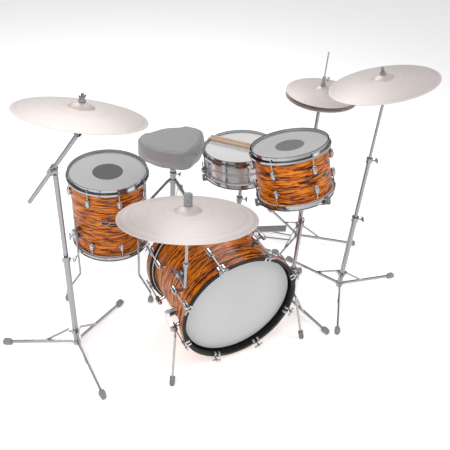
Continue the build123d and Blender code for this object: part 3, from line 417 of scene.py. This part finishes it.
class Build:
    """Collects parts of one piece in a bmesh, in the row frame."""

    def __init__(self):
        self.bm = bmesh.new()

    def lathe(self, matrix, outline, segments=40):
        """Surface of revolution from (radius, height) points in mm; ends at radius 0 are closed."""
        rings = []
        for radius, height in outline:
            if radius == 0:
                rings.append([self.bm.verts.new(matrix @ Vector((0, 0, height * MM)))])
                continue
            ring = []
            for step in range(segments):
                angle = 2 * math.pi * step / segments
                point = Vector((radius * math.cos(angle), radius * math.sin(angle), height)) * MM
                ring.append(self.bm.verts.new(matrix @ point))
            rings.append(ring)
        for lower, upper in zip(rings, rings[1:]):
            for step in range(segments):
                after = (step + 1) % segments
                if len(lower) == 1 and len(upper) > 1:
                    self.bm.faces.new((lower[0], upper[after], upper[step]))
                elif len(upper) == 1 and len(lower) > 1:
                    self.bm.faces.new((lower[step], lower[after], upper[0]))
                elif len(lower) > 1:
                    self.bm.faces.new((lower[step], lower[after], upper[after], upper[step]))

    def prism(self, matrix, outline, low, high, round_by=0.6, steps=2):
        """Outline of (x, y) points in mm extruded from low to high, its edges rounded."""
        before = set(self.bm.verts)
        bottom = [self.bm.verts.new((x * MM, y * MM, low * MM)) for x, y in outline]
        top = [self.bm.verts.new((x * MM, y * MM, high * MM)) for x, y in outline]
        count = len(outline)
        faces = [self.bm.faces.new(list(reversed(bottom))), self.bm.faces.new(top)]
        for index in range(count):
            after = (index + 1) % count
            faces.append(self.bm.faces.new((bottom[index], bottom[after], top[after], top[index])))
        if round_by:
            edges = {edge for face in faces for edge in face.edges}
            bmesh.ops.bevel(self.bm, geom=list(edges), offset=round_by * MM, segments=steps, profile=0.5,
                            affect="EDGES", clamp_overlap=True)
        fresh = [vertex for vertex in self.bm.verts if vertex not in before]
        bmesh.ops.transform(self.bm, matrix=matrix, verts=fresh)

    def box(self, matrix, size, round_by=0.8):
        x, y, z = (value / 2 for value in size)
        self.prism(matrix, [(-x, -y), (x, -y), (x, y), (-x, y)], -z, z, round_by)

    def done(self, name, material, body, replaces=(), crease=35.0):
        bmesh.ops.recalc_face_normals(self.bm, faces=self.bm.faces)
        mesh = bpy.data.meshes.new(name)
        self.bm.to_mesh(mesh)
        self.bm.free()
        mesh.shade_smooth()
        mesh.set_sharp_from_angle(angle=math.radians(crease))
        piece = bpy.data.objects.new(name, mesh)
        bpy.context.scene.collection.objects.link(piece)
        mesh.materials.append(material)
        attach(piece, body)
        if replaces:
            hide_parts(*replaces)
        return piece


def islands(node):
    """Points of each separate solid of a CAD node, as lists of vectors."""
    bm = bmesh.new()
    bm.from_mesh(NODES[node].data)
    bmesh.ops.remove_doubles(bm, verts=bm.verts, dist=1e-6)
    found, groups = set(), []
    for vertex in bm.verts:
        if vertex in found:
            continue
        stack, group = [vertex], []
        found.add(vertex)
        while stack:
            current = stack.pop()
            group.append(current.co.copy())
            for edge in current.link_edges:
                other = edge.other_vert(current)
                if other not in found:
                    found.add(other)
                    stack.append(other)
        groups.append(group)
    bm.free()
    return groups


def bounds_of(points):
    low = Vector([min(point[axis] for point in points) for axis in range(3)])
    high = Vector([max(point[axis] for point in points) for axis in range(3)])
    return low, high


def turned(matrix, angle):
    return matrix @ Matrix.Rotation(math.radians(angle), 4, "Z")


def moved(matrix, x=0.0, y=0.0, z=0.0):
    return matrix @ Matrix.Translation(Vector((x, y, z)) * MM)


def flipped(matrix):
    return matrix @ Matrix.Rotation(math.pi, 4, "X")


# ---------------------------------------------------------------- materials for CAD nodes

def paint(material, *names):
    for name in names:
        data = NODES[name].data
        data.materials.clear()
        data.materials.append(material)


SPUR_TIP = 0.047         # top of the rubber on a spur's foot
TOM_GRIP = 0.166         # from the drum's axis to where a basket arm turns to rubber
SNARE_GRIP = 0.179
BEATER_FELT = 0.122      # from the pedal's shaft to the beater's felt
BASS_COLLAR = 0.2535
BASS_COLLAR_LINE = 0.2635
TOM_COLLAR = 0.1637
DRUM_14_COLLAR = 0.1765
TOM_DOT = 0.064
FLOOR_TOM_DOT = 0.071

paint(wrap_material("bass_wrap", BASS), "bass_drum_shell")
paint(wrap_material("tom_wrap", TOM), "tom_shell")
paint(wrap_material("floor_tom_wrap", FLOOR_TOM), "floor_tom_shell")
paint(inlaid_hoop_material("bass_hoop_lacquer", BASS), "bass_drum_hoops")
paint(head_material("bass_head_film", BASS, 0.74, BASS_COLLAR, rough=0.55, rim=0.03, line=BASS_COLLAR_LINE),
      "bass_drum_heads")
paint(head_material("tom_head_film", TOM, 0.58, TOM_COLLAR, dot=TOM_DOT, dot_tone=0.20), "tom_heads")
paint(head_material("floor_tom_head_film", FLOOR_TOM, 0.55, DRUM_14_COLLAR, dot=FLOOR_TOM_DOT,
                    dot_tone=0.075), "floor_tom_heads")
paint(head_material("snare_head_film", SNARE, 0.80, DRUM_14_COLLAR, rough=0.7), "snare_heads")
paint(CHROME, "tom_hoops", "floor_tom_hoops", "snare_hoops", "bass_drum_brackets", "floor_tom_leg_brackets",
      "snare_strainer", "snare_lever")
paint(SNARE_STEEL, "snare_shell")
paint(PALE_STEEL, "holder_rod", "floor_tom_legs", "tom_stand_tripod", "tom_stand_post",
      "snare_stand_tripod", "snare_stand_post", "hihat_tripod", "hihat_footboard", "hihat_upper_tube",
      "ride_tripod", "ride_middle_tube", "ride_top_tube", "boom_tripod", "boom_middle_tube", "boom_clamp",
      "boom_arm", "throne_tripod", "throne_post", "pedal_frame", "pedal_footboard")
paint(capped_metal("spur_plate", Matrix.Identity(4), level=SPUR_TIP), "spur_left", "spur_right")
paint(capped_metal("tom_basket_plate", TOM, reach=TOM_GRIP), "tom_basket")
paint(capped_metal("snare_basket_plate", SNARE, reach=SNARE_GRIP), "snare_basket")
BEATER_SWING = JOINTS["pedal_beater_swing"]
BEATER = frame_at(BEATER_SWING["pos_m"], BEATER_SWING["axis"], (0, 1, 0))
paint(capped_metal("beater_plate", BEATER, reach=BEATER_FELT, soft=CAP_FELT), "pedal_beater")
paint(DARK_STEEL, "throne_seat_base")
paint(WIRE, "snare_wires")
paint(MAPLE, "sticks")

CYMBALS = {
    "centre_cymbal": ("centre_cymbal_spin", CYMBAL_20),
    "boom_cymbal": ("boom_cymbal_spin", CYMBAL_18),
    "ride_cymbal": ("ride_cymbal_spin", CYMBAL_18),
    "hihat_top_cymbal": ("hihat_top_spin", CYMBAL_14),
    "hihat_bottom_cymbal": ("hihat_bottom_spin", CYMBAL_14),
}
for cymbal, (joint, (radius, _, _)) in CYMBALS.items():
    place = frame_at(JOINTS[joint]["pos_m"], JOINTS[joint]["axis"])
    paint(cymbal_material(cymbal + "_bronze", place, radius), cymbal)


# ---------------------------------------------------------------- lugs, rods and claws

ROD_OFFSET = 9.2
HEAD_SEAT = 5.7          # hoop flange's upper face below the bearing edge
LUG_FAR = 88             # ends of a tom's lug, from the drum's end
LUG_NEAR = 44
LUG_RADIUS = 10.0
BASS_LUG_ENDS = (62, 118)
BASS_LUG_RADIUS = 11.0
DOME_STEPS = 6


def bullet_lug(piece, place, radius, rod_axis, low, high, width):
    """Domed lug with a waist ring, on a round foot against the shell."""
    mid = (low + high) / 2
    dome = []
    for step in range(1, DOME_STEPS + 1):
        angle = math.pi / 2 * step / DOME_STEPS
        dome.append((width * math.sin(angle), width * (1 - math.cos(angle))))
    outline = [(0, low)] + [(out, low + rise) for out, rise in dome]
    outline += [(width, mid - 5), (width + 1.1, mid - 4), (width + 1.1, mid + 4), (width, mid + 5)]
    outline += [(out, high - rise) for out, rise in reversed(dome)] + [(0, high)]
    piece.lathe(moved(place, x=rod_axis), outline, 28)
    foot_length = rod_axis - radius
    foot = moved(place, x=radius - 0.3, z=mid) @ Z_TO_X
    flare = width * 1.15
    piece.lathe(foot, [(0, 0), (flare, 0), (flare, 1.2), (flare * 0.72, 2.6), (flare * 0.6, foot_length)], 24)


def hoop_rod(piece, place, radius, half, low):
    """Tension rod with its washer and square head standing on the hoop's flange."""
    seat = half - HEAD_SEAT
    at = moved(place, x=radius + ROD_OFFSET)
    piece.lathe(at, [(0, low), (2.9, low), (2.9, seat), (4.7, seat), (4.7, seat + 1.5), (3.9, seat + 1.6),
                     (3.9, seat + 3.0), (0, seat + 3.0)], 20)
    piece.box(moved(at, z=seat + 6.0), (5.6, 5.6, 6.4), 0.7)
    piece.lathe(at, [(2.2, seat + 9.0), (1.6, seat + 9.4), (0, seat + 9.5)], 16)


def circle_angles(count, first):
    return [first + 360.0 / count * index for index in range(count)]


WOODEN_TOMS = (
    ("tom_lugs", TOM, TOM_RADIUS, TOM_HALF, circle_angles(6, 30), "tom"),
    ("floor_tom_lugs", FLOOR_TOM, DRUM_14_RADIUS, FLOOR_TOM_HALF, circle_angles(8, -137.5), "floor_tom"),
)
for label, matrix, radius, half, angles, body in WOODEN_TOMS:
    piece = Build()
    for end in (1, -1):
        side = matrix if end == 1 else flipped(matrix)
        for angle in angles:
            place = turned(side, angle * end)
            bullet_lug(piece, place, radius, radius + ROD_OFFSET, half - LUG_FAR, half - LUG_NEAR, LUG_RADIUS)
            hoop_rod(piece, place, radius, half, half - LUG_NEAR - 2)
    piece.done(label + "_domed", CHROME, body, replaces=[label])


def snare_lugs():
    """Tube lugs with collars, on two turned posts each."""
    radius = DRUM_14_RADIUS
    reach = SNARE_HALF - 26
    piece = Build()
    for angle in circle_angles(10, 3):
        place = turned(SNARE, angle)
        at = moved(place, x=radius + ROD_OFFSET)
        piece.lathe(at, [(0, -reach), (4.6, -reach), (4.6, -reach + 6), (3.9, -reach + 7), (3.9, reach - 7),
                         (4.6, reach - 6), (4.6, reach), (0, reach)], 20)
        for level in (-reach + 14, reach - 14):
            post = moved(place, x=radius, z=level) @ Z_TO_X
            piece.lathe(post, [(0, 0), (6, 0), (6, 1.2), (3.4, 2.6), (3.4, ROD_OFFSET)], 18)
        hoop_rod(piece, place, radius, SNARE_HALF, reach)
        hoop_rod(piece, turned(flipped(SNARE), -angle), radius, SNARE_HALF, reach)
    piece.done("snare_tube_lugs", CHROME, "snare", replaces=["snare_lugs"])


snare_lugs()

# Bass drum: radius of its tension rods, its hoop, and the claws and T rods on it.
BASS_ROD = 287.0
HOOP_OUT = 277.1
HOOP_IN = 261.1
HOOP_FACE = 208.1
CLAW_WALL = 3.0
HOOK_END = 172
WEB_END = 175
PRONG_OFFSET = 11.2
PRONG_HALF = 5.4
WEB_HALF = 6.4
EAR_Z = 188
T_BAR_Z = 221.0


def claw(piece, place):
    """Pressed claw: two prongs that hook over the hoop, a web between them and an ear for the rod."""
    out, inside, face, wall = HOOP_OUT, HOOP_IN, HOOP_FACE, CLAW_WALL
    hook = [(out + wall, HOOK_END), (out + wall, face + 1.2), (out + 1.4, face + wall),
            (inside - 1.2, face + wall), (inside - wall, face + 1.2), (inside - wall, face - 11),
            (inside - wall + 1.2, face - 12), (inside, face - 11), (inside, face), (out, face),
            (out, HOOK_END)]
    for side in (-1, 1):
        edge_on = moved(place, y=side * PRONG_OFFSET) @ Z_TO_MINUS_Y
        piece.prism(edge_on, hook, -PRONG_HALF, PRONG_HALF, 0.6)
    web = [(out, WEB_END), (out + wall, WEB_END), (out + wall, face + 0.6), (out, face + 0.6)]
    piece.prism(place @ Z_TO_MINUS_Y, web, -WEB_HALF, WEB_HALF, 0.4)
    ear = moved(place, x=BASS_ROD, z=EAR_Z)
    piece.lathe(ear, [(3.3, -4), (6.6, -4), (7.2, -3.2), (7.2, 3.2), (6.6, 4), (3.3, 4), (3.3, -4)], 24)
    piece.box(moved(place, x=(out + BASS_ROD) / 2 + 1, z=EAR_Z), (BASS_ROD - out - 4, 12, 7.4), 1.2)


def t_rod(piece, place):
    """Threaded rod through the claw's ear, with a waisted T handle."""
    at = moved(place, x=BASS_ROD)
    piece.lathe(at, [(0, 114), (3.0, 114), (3.0, 192.3), (5.5, 192.5), (5.5, 198), (3.4, 199.5), (3.4, 212),
                     (5.6, 214), (6.0, 220), (5.6, 226), (4.4, 227), (0, 227)], 20)
    across = moved(at, z=T_BAR_Z) @ Z_TO_MINUS_Y
    half_bar = [(3.6, 6), (3.2, 12), (4.2, 16), (4.2, 20.6), (3.4, 22), (0, 22)]
    mirrored = [(radius, -height) for radius, height in reversed(half_bar)]
    piece.lathe(across, mirrored + [(4.2, 0)] + half_bar, 20)


lug_piece = Build()
claw_piece = Build()
for end in (1, -1):
    side = BASS if end == 1 else flipped(BASS)
    for angle in circle_angles(8, 22.5):
        place = turned(side, angle * end)
        bullet_lug(lug_piece, place, BASS_RADIUS, BASS_ROD, *BASS_LUG_ENDS, BASS_LUG_RADIUS)
        claw(claw_piece, place)
        t_rod(claw_piece, place)
lug_piece.done("bass_domed_lugs", CHROME, ROOT, replaces=["bass_drum_lugs"])
claw_piece.done("bass_claws_and_t_rods", CHROME, ROOT, replaces=["bass_drum_claws"])


# ---------------------------------------------------------------- cymbal tilters, felts and nuts

WING_HALF = 1.9


def wing_nut(piece, place, low, bore):
    """Turned hub with two raised wings."""
    hub = [(bore, 0), (9.0, 0), (9.4, 1.0), (8.4, 3.0), (6.8, 6.0), (6.6, 10), (bore, 10)]
    piece.lathe(moved(place, z=low), hub, 28)
    wing = [(5.2, 1.5), (9, 2.5), (13.5, 5.5), (17.0, 11.0), (17.2, 14.5), (14.6, 15.6), (11.0, 12.6),
            (8.0, 9.5), (5.2, 8.6)]
    for angle in (180, 0):
        face = turned(moved(place, z=low), angle) @ Z_TO_MINUS_Y
        piece.prism(face, wing, -WING_HALF, WING_HALF, 0.8)


def felt_washer(piece, place, low, high, inner, outer):
    """Ring of felt with its outer edges rounded."""
    soft = min(2.6, (high - low) / 3)
    bit = soft * 0.3
    piece.lathe(place, [(inner, low), (outer - soft, low), (outer - bit, low + bit), (outer, low + soft),
                        (outer, high - soft), (outer - bit, high - bit), (outer - soft, high), (inner, high),
                        (inner, low)], 36)


DROP = 60.0              # from the cymbal's rim plane down to the tilt pin
STEM = 5.5
STEM_BORE = 5.6
FELT_RADIUS = 13
SLEEVE_TOP = 45


def tilter(node, joint, size, tall=False):
    """Tilter's tongue and stem, with the felts and a wing nut, or a tall sleeve, above the cymbal."""
    spec = JOINTS[joint]
    spin = JOINTS[node.replace("tilter", "cymbal") + "_spin"]
    place = frame_at(spec["pos_m"], spin["axis"], spec["axis"])
    _, bow, bell = size
    crown = DROP + bow + bell
    chamfer, top = (crown + 45.6, crown + 46) if tall else (crown + 29, crown + 30)
    metal = Build()
    across = place @ Z_TO_X
    metal.lathe(across, [(3.05, -5), (8.4, -5), (9, -4.4), (9, 4.4), (8.4, 5), (3.05, 5), (3.05, -5)], 32)
    metal.lathe(place, [(0, 7), (4.6, 7), (4.6, 14), (4.0, 16), (4.6, 19), (4.6, crown - 17),
                        (11, crown - 16.6), (FELT_RADIUS, crown - 15.5), (FELT_RADIUS, crown - 13.6),
                        (12.4, crown - 13), (STEM, crown - 13), (STEM, chamfer), (4.7, top), (0, top)], 28)
    metal.done(node + "_metal", PALE_STEEL, node, replaces=[node])
    if not tall:
        grip = Build()
        wing_nut(grip, place, crown + 9.2, STEM_BORE)
        grip.done(node + "_wing_nut", DARK_STEEL, node)
    soft = Build()
    felt_washer(soft, place, crown - 12.9, crown - 3.7, STEM_BORE, FELT_RADIUS)
    if tall:
        sleeve = [(STEM_BORE, 0.4), (14.5, 0.4), (16, 2), (16, 14), (15.2, 15), (15.2, 16), (16, 17),
                  (16, 42), (14.6, SLEEVE_TOP), (STEM_BORE, SLEEVE_TOP), (STEM_BORE, 0.4)]
        soft.lathe(moved(place, z=crown), sleeve, 36)
    else:
        felt_washer(soft, place, crown + 0.4, crown + 8.9, STEM_BORE, FELT_RADIUS)
    soft.done(node + "_felts", FELT, node)


tilter("centre_tilter", "centre_cymbal_tilt", CYMBAL_20, tall=True)
tilter("ride_tilter", "ride_tilt", CYMBAL_18)
tilter("boom_tilter", "boom_cymbal_tilt", CYMBAL_18)


def hihat_clutch():
    """Pull rod, clutch with its lock nuts, felts and wing screw."""
    low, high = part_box("hihat_rod")
    centre = Vector(JOINTS["hihat_top_spin"]["pos_m"])
    place = frame_at((centre.x, centre.y, 0), (0, 0, 1))
    _, bow, bell = CYMBAL_14
    crown = centre.z / MM + bow + bell
    metal = Build()
    top, bottom = high[2] / MM, low[2] / MM
    clutch = [(3.5, -20), (8, -20), (10, -19), (10, -14.2), (5.6, -13.9), (5.6, 12), (8, 12), (9, 13),
              (9, 17), (8, 18), (8, 22), (9, 23), (9, 44.6), (8, 46), (3.5, 46)]
    outline = [(0, bottom), (3.0, bottom), (3.5, bottom + 0.6)]
    outline += [(radius, crown + height) for radius, height in clutch]
    outline += [(3.5, top - 1), (2.7, top), (0, top)]
    metal.lathe(place, outline, 28)
    screw = moved(place, z=crown + 30) @ Z_TO_X
    metal.lathe(screw, [(3, 8), (3, 20), (4.6, 20.4), (4.6, 24), (3, 25), (0, 25)], 18)
    wing = [(-11, -1.6), (-12, 1.4), (-9, 3.2), (-3, 2.2), (3, 2.2), (9, 3.2), (12, 1.4), (11, -1.6),
            (4, -2.4), (-4, -2.4)]
    metal.prism(moved(screw, z=20), wing, 0.4, 12, 0.9)
    metal.done("hihat_rod_and_clutch", PALE_STEEL, "hihat_rod", replaces=["hihat_rod"])
    soft = Build()
    felt_washer(soft, place, crown - 13.7, crown - 4.1, 5.8, 11)
    felt_washer(soft, place, crown + 0.4, crown + 11.7, 5.8, FELT_RADIUS)
    soft.done("hihat_felts", FELT, "hihat_rod")


hihat_clutch()


# ---------------------------------------------------------------- rubber feet

BOOT_SIZE = (44, 28, 30)
BOOT_SQUARENESS = 0.62   # 1 is an ellipse in section, less is squarer
LEG_FOOT_OVER = 0.033    # feet taller than this are the floor tom's round ones


def boot(piece, place, length, width, height):
    """Rounded rubber boot: domed on top, squarish in section and flat underneath."""
    stations = 22
    around = 28
    rings = []
    for step in range(stations + 1):
        t = step / stations
        x = length * (t - 0.5)
        dome = math.sqrt(max(0.0, 1 - (2 * t - 1) ** 6)) if 0 < t < 1 else 0.0
        swell = 0.80 + 0.20 * math.sin(math.pi * min(1.0, t * 1.15)) if t < 0.9 else 0.98
        half_w = width / 2 * dome * swell
        tall = height * (0.30 + 0.70 * dome * (0.82 + 0.18 * math.sin(math.pi * t)))
        ring = []
        for turn in range(around):
            angle = 2 * math.pi * turn / around
            c, s = math.cos(angle), math.sin(angle)
            y = half_w * math.copysign(abs(c) ** BOOT_SQUARENESS, c)
            z = tall / 2 + tall / 2 * math.copysign(abs(s) ** BOOT_SQUARENESS, s)
            if t in (0, 1):
                y, z = 0.0, height * 0.42
            ring.append(Vector((x, y, z)))
        rings.append(ring)
    for ring in rings[1:-1]:
        lowest = min(point.z for point in ring)
        for point in ring:
            point.z -= lowest
    made = []
    for index, ring in enumerate(rings):
        if index in (0, len(rings) - 1):
            made.append([piece.bm.verts.new(place @ (ring[0] * MM))])
        else:
            made.append([piece.bm.verts.new(place @ (point * MM)) for point in ring])
    for lower, upper in zip(made, made[1:]):
        for turn in range(around):
            after = (turn + 1) % around
            if len(lower) == 1:
                piece.bm.faces.new((lower[0], upper[turn], upper[after]))
            elif len(upper) == 1:
                piece.bm.faces.new((lower[turn], upper[0], lower[after]))
            else:
                piece.bm.faces.new((lower[turn], upper[turn], upper[after], lower[after]))


def heading_of(points, centre):
    """Direction of a foot's long side, from the spread of its points."""
    xx = sum((point.x - centre.x) ** 2 for point in points)
    yy = sum((point.y - centre.y) ** 2 for point in points)
    xy = sum((point.x - centre.x) * (point.y - centre.y) for point in points)
    return math.degrees(0.5 * math.atan2(2 * xy, xx - yy))


feet = Build()
for points in islands("rubber_feet"):
    low, high = bounds_of(points)
    centre = (low + high) / 2
    place = frame_at((centre.x, centre.y, 0), (0, 0, 1))
    if high.z > LEG_FOOT_OVER:
        bulb = [(0, 0), (11, 0), (14.4, 3), (15, 9), (14.2, 20), (11, 29), (9.2, 32), (8.6, 35.6), (0, 35.6)]
        feet.lathe(place, bulb, 32)
    else:
        boot(feet, turned(place, heading_of(points, centre)), *BOOT_SIZE)
feet.done("rubber_boots", RUBBER, ROOT, replaces=["rubber_feet"], crease=60)


# ---------------------------------------------------------------- badges and vent

def badge(name, matrix, radius, angle, height, body, wide=23.0, tall=9.5):
    """Blank oval plate with a raised rim and an enamelled field, bowed to the shell."""
    for label, scale, lift, material in (("_rim", 1.0, 1.5, CHROME), ("_field", 0.82, 1.9, ENAMEL)):
        piece = Build()
        rings = 6
        steps = 48
        made = [[piece.bm.verts.new(Vector((0, 0, 0)))]]
        for ring in range(1, rings + 1):
            row = []
            for step in range(steps):
                turn = 2 * math.pi * step / steps
                x = wide * scale * ring / rings * math.cos(turn)
                y = tall * scale * ring / rings * math.sin(turn)
                row.append(piece.bm.verts.new((x, y, ring)))
            made.append(row)
        for lower, upper in zip(made, made[1:]):
            for step in range(steps):
                after = (step + 1) % steps
                if len(lower) == 1:
                    piece.bm.faces.new((lower[0], upper[step], upper[after]))
                else:
                    piece.bm.faces.new((lower[step], upper[step], upper[after], lower[after]))
        edge = bmesh.ops.extrude_edge_only(piece.bm, edges=[e for e in piece.bm.edges if e.is_boundary])
        skirt = [item for item in edge["geom"] if isinstance(item, bmesh.types.BMVert)]
        for vertex in piece.bm.verts:
            u, v = vertex.co.x, vertex.co.y
            out = radius + (0.05 if vertex in skirt else lift)
            turn = math.radians(angle) + u / radius
            local = Vector((out * math.cos(turn), out * math.sin(turn), height + v)) * MM
            vertex.co = matrix @ local
        piece.done(name + label, material, body)


badge("tom_badge", TOM, TOM_RADIUS, -69, -4, "tom")
badge("floor_tom_badge", FLOOR_TOM, DRUM_14_RADIUS, -115, 20, "floor_tom")
VENT_ANGLE = 177.5
VENT_HEIGHT = 58
vent = Build()
vent_place = moved(turned(TOM, VENT_ANGLE), x=TOM_RADIUS, z=VENT_HEIGHT) @ Z_TO_X
vent.lathe(vent_place, [(3.5, 0.1), (3.5, 2.0), (5.0, 2.6), (8.6, 1.6), (9.0, 0.1)], 32)
vent.done("tom_vent_grommet", CHROME, "tom")


# ---------------------------------------------------------------- throne seat

# Lobes (x, y, radius) of the seat's outline, and how far the sides between them bow out, in mm.
SEAT_LOBES = ((-97, 29, 110), (97, 29, 110), (0, -92, 100))
SIDE_LENGTH = 40.0
SIDE_STEPS = 10
SIDE_BOW = 15.0
FILLING_INSET = 8.0      # the block before it swells, inside the outline and below the top
FILLING_DROP = 7
FILLING_LIFT = 0.6
VOXEL = 0.0055
CLOTH_PRESSURE = 4.0
CLOTH_FRAMES = 20
SWELL_LIMIT = 0.010
BASE_GAP = 0.0004


def cushion_outline(shrink, steps=96):
    """Outline of the rounded triangle, round its three lobes and bowed out between them."""
    outline = []
    for step in range(steps):
        angle = 2 * math.pi * step / steps
        direction = Vector((math.cos(angle), math.sin(angle)))
        x, y, radius = max(SEAT_LOBES,
                           key=lambda lobe: direction.x * lobe[0] + direction.y * lobe[1] + lobe[2])
        outline.append((x + (radius - shrink) * direction.x, y + (radius - shrink) * direction.y))
    bowed = []
    for start, end in zip(outline, outline[1:] + outline[:1]):
        bowed.append(start)
        side = Vector((end[0] - start[0], end[1] - start[1]))
        if side.length > SIDE_LENGTH:
            outward = Vector((side.y, -side.x)).normalized() * SIDE_BOW
            for step in range(1, SIDE_STEPS):
                share = step / SIDE_STEPS
                swell = outward * math.sin(math.pi * share)
                bowed.append((start[0] + side.x * share + swell.x, start[1] + side.y * share + swell.y))
    return bowed


def throne_cushion():
    """Seat: a block of filling, swollen by a cloth simulation and kept within its height."""
    low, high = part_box("throne_seat")
    _, back_lobe_y, back_lobe_radius = SEAT_LOBES[0]
    centre_x = (low[0] + high[0]) / 2
    centre_y = high[1] - (back_lobe_y + back_lobe_radius) * MM
    thickness = (high[2] - low[2]) / MM
    piece = Build()
    outline = cushion_outline(FILLING_INSET)
    place = frame_at((centre_x, centre_y, low[2]), (0, 0, 1))
    piece.prism(place, outline, FILLING_LIFT, thickness - FILLING_DROP, round_by=0)
    seat = piece.done("throne_cushion", VINYL, "throne_seat", replaces=["throne_seat"])
    bpy.context.view_layer.objects.active = seat
    seat.select_set(True)
    remesh = seat.modifiers.new("remesh", "REMESH")
    remesh.mode = "VOXEL"
    remesh.voxel_size = VOXEL
    bpy.ops.object.modifier_apply(modifier="remesh")
    start = [vertex.co.copy() for vertex in seat.data.vertices]
    swollen = start
    cloth = seat.modifiers.new("cloth", "CLOTH")
    cloth.settings.use_pressure = True
    cloth.settings.uniform_pressure_force = CLOTH_PRESSURE
    cloth.settings.effector_weights.gravity = 0
    cloth.point_cache.frame_end = CLOTH_FRAMES
    for step in range(1, CLOTH_FRAMES + 1):
        bpy.context.scene.frame_set(step)
    graph = bpy.context.evaluated_depsgraph_get()
    swollen = [vertex.co.copy() for vertex in seat.evaluated_get(graph).data.vertices]
    seat.modifiers.remove(cloth)
    bpy.context.scene.frame_set(1)
    for vertex, before, after in zip(seat.data.vertices, start, swollen):
        move = after - before
        if move.length > SWELL_LIMIT:
            move *= SWELL_LIMIT / move.length
        point = before + move
        point.z = min(max(point.z, low[2] + BASE_GAP), high[2])
        vertex.co = point
    smooth = seat.modifiers.new("smooth", "SMOOTH")
    smooth.factor = 0.5
    smooth.iterations = 6
    bpy.ops.object.modifier_apply(modifier="smooth")
    fine = seat.modifiers.new("fine", "SUBSURF")
    fine.levels = 1
    fine.render_levels = 1
    bpy.ops.object.modifier_apply(modifier="fine")
    seat.data.shade_smooth()


throne_cushion()


# ---------------------------------------------------------------- studio and camera

FLOOR_HALF = 14.0
FLOOR_GLOW = 0.5
WORLD_STRENGTH = 0.7
# Height of the view direction from straight down to straight up, and the surround's tone there.
SURROUND = ((0.0, 0.6), (0.46, 0.5), (0.50, 0.03), (0.60, 0.06), (0.68, 0.55), (0.80, 0.30), (1.0, 0.45))


def studio():
    """Plain pale floor."""
    bm = bmesh.new()
    bmesh.ops.create_grid(bm, x_segments=4, y_segments=4, size=FLOOR_HALF)
    mesh = bpy.data.meshes.new("studio_floor")
    bm.to_mesh(mesh)
    bm.free()
    floor = bpy.data.objects.new("studio_floor", mesh)
    bpy.context.scene.collection.objects.link(floor)
    floor.location.z = -0.0005
    shader = Shader("studio_floor", roughness=0.9, colour=(0.92, 0.92, 0.92))
    grain = shader.noise(shader.place, 3.0)
    shader.colour(shader.ramp(grain, (0.2, 0.90), (0.8, 0.93)))
    shader.bsdf.inputs["Emission Color"].default_value = (1, 1, 1, 1)
    shader.bsdf.inputs["Emission Strength"].default_value = FLOOR_GLOW
    mesh.materials.append(shader.material)


def softbox(name, place, target, size, power):
    light = bpy.data.lights.new(name, "AREA")
    light.shape = "RECTANGLE"
    light.size, light.size_y = size
    light.energy = power
    lamp = bpy.data.objects.new(name, light)
    lamp.location = place
    lamp.rotation_euler = (Vector(target) - Vector(place)).to_track_quat("-Z", "Y").to_euler()
    bpy.context.scene.collection.objects.link(lamp)


def world_light():
    """Pale surround with a dark band just above the horizon for plated parts to mirror."""
    world = bpy.data.worlds.new("surround")
    bpy.context.scene.world = world
    world.use_nodes = True
    tree = world.node_tree
    coordinate = tree.nodes.new("ShaderNodeTexCoord")
    split = tree.nodes.new("ShaderNodeSeparateXYZ")
    tree.links.new(coordinate.outputs["Generated"], split.inputs[0])
    ramp = tree.nodes.new("ShaderNodeValToRGB")
    elements = ramp.color_ramp.elements
    while len(elements) < len(SURROUND):
        elements.new(0.5)
    for element, (position, tone) in zip(elements, SURROUND):
        element.position = position
        element.color = (tone, tone, tone, 1)
    lift = tree.nodes.new("ShaderNodeMapRange")
    lift.inputs["From Min"].default_value = -1.0
    tree.links.new(split.outputs["Z"], lift.inputs["Value"])
    tree.links.new(lift.outputs["Result"], ramp.inputs["Fac"])
    tree.links.new(ramp.outputs["Color"], tree.nodes["Background"].inputs["Color"])
    tree.nodes["Background"].inputs["Strength"].default_value = WORLD_STRENGTH


studio()
world_light()
look_at = Vector(middle("bass_drum_shell")) + Vector((0.05, 0.35, 0.2))
softbox("key", look_at + Vector((-2.2, -1.6, 3.2)), look_at, (2.2, 1.6), 72)
softbox("fill", look_at + Vector((2.6, -2.2, 2.2)), look_at, (1.6, 2.4), 34)
softbox("back", look_at + Vector((0.4, 2.6, 2.8)), look_at, (2.6, 1.2), 52)

FOCAL_PIXELS = 585.4
IMAGE_SIDE = 450.0
SENSOR = 36.0
CAMERA_FROM_BASS_DRUM = Vector((-0.991, -1.743, 1.8085))
CAMERA_HEADING = Vector((0.496, 0.868, 0.0)).normalized()
CAMERA_PITCH = math.radians(36.69)
CAMERA_ROLL = 0.0781


def camera():
    """Camera seen from the front left of the bass drum, looking down."""
    lens = bpy.data.cameras.new("camera")
    lens.sensor_width = SENSOR
    lens.lens = FOCAL_PIXELS / IMAGE_SIDE * SENSOR
    eye = bpy.data.objects.new("camera", lens)
    forward = CAMERA_HEADING * math.cos(CAMERA_PITCH) - Vector((0, 0, math.sin(CAMERA_PITCH)))
    level = forward.cross(Vector((0, 0, 1))).normalized()
    upright = level.cross(forward)
    right = level * math.cos(CAMERA_ROLL) + upright * math.sin(CAMERA_ROLL)
    up = upright * math.cos(CAMERA_ROLL) - level * math.sin(CAMERA_ROLL)
    rotation = Matrix((right, up, -forward)).transposed().to_4x4()
    eye.matrix_world = Matrix.Translation(middle("bass_drum_shell") + CAMERA_FROM_BASS_DRUM) @ rotation
    bpy.context.scene.collection.objects.link(eye)
    bpy.context.scene.camera = eye


camera()
bpy.context.scene.view_settings.view_transform = "Standard"
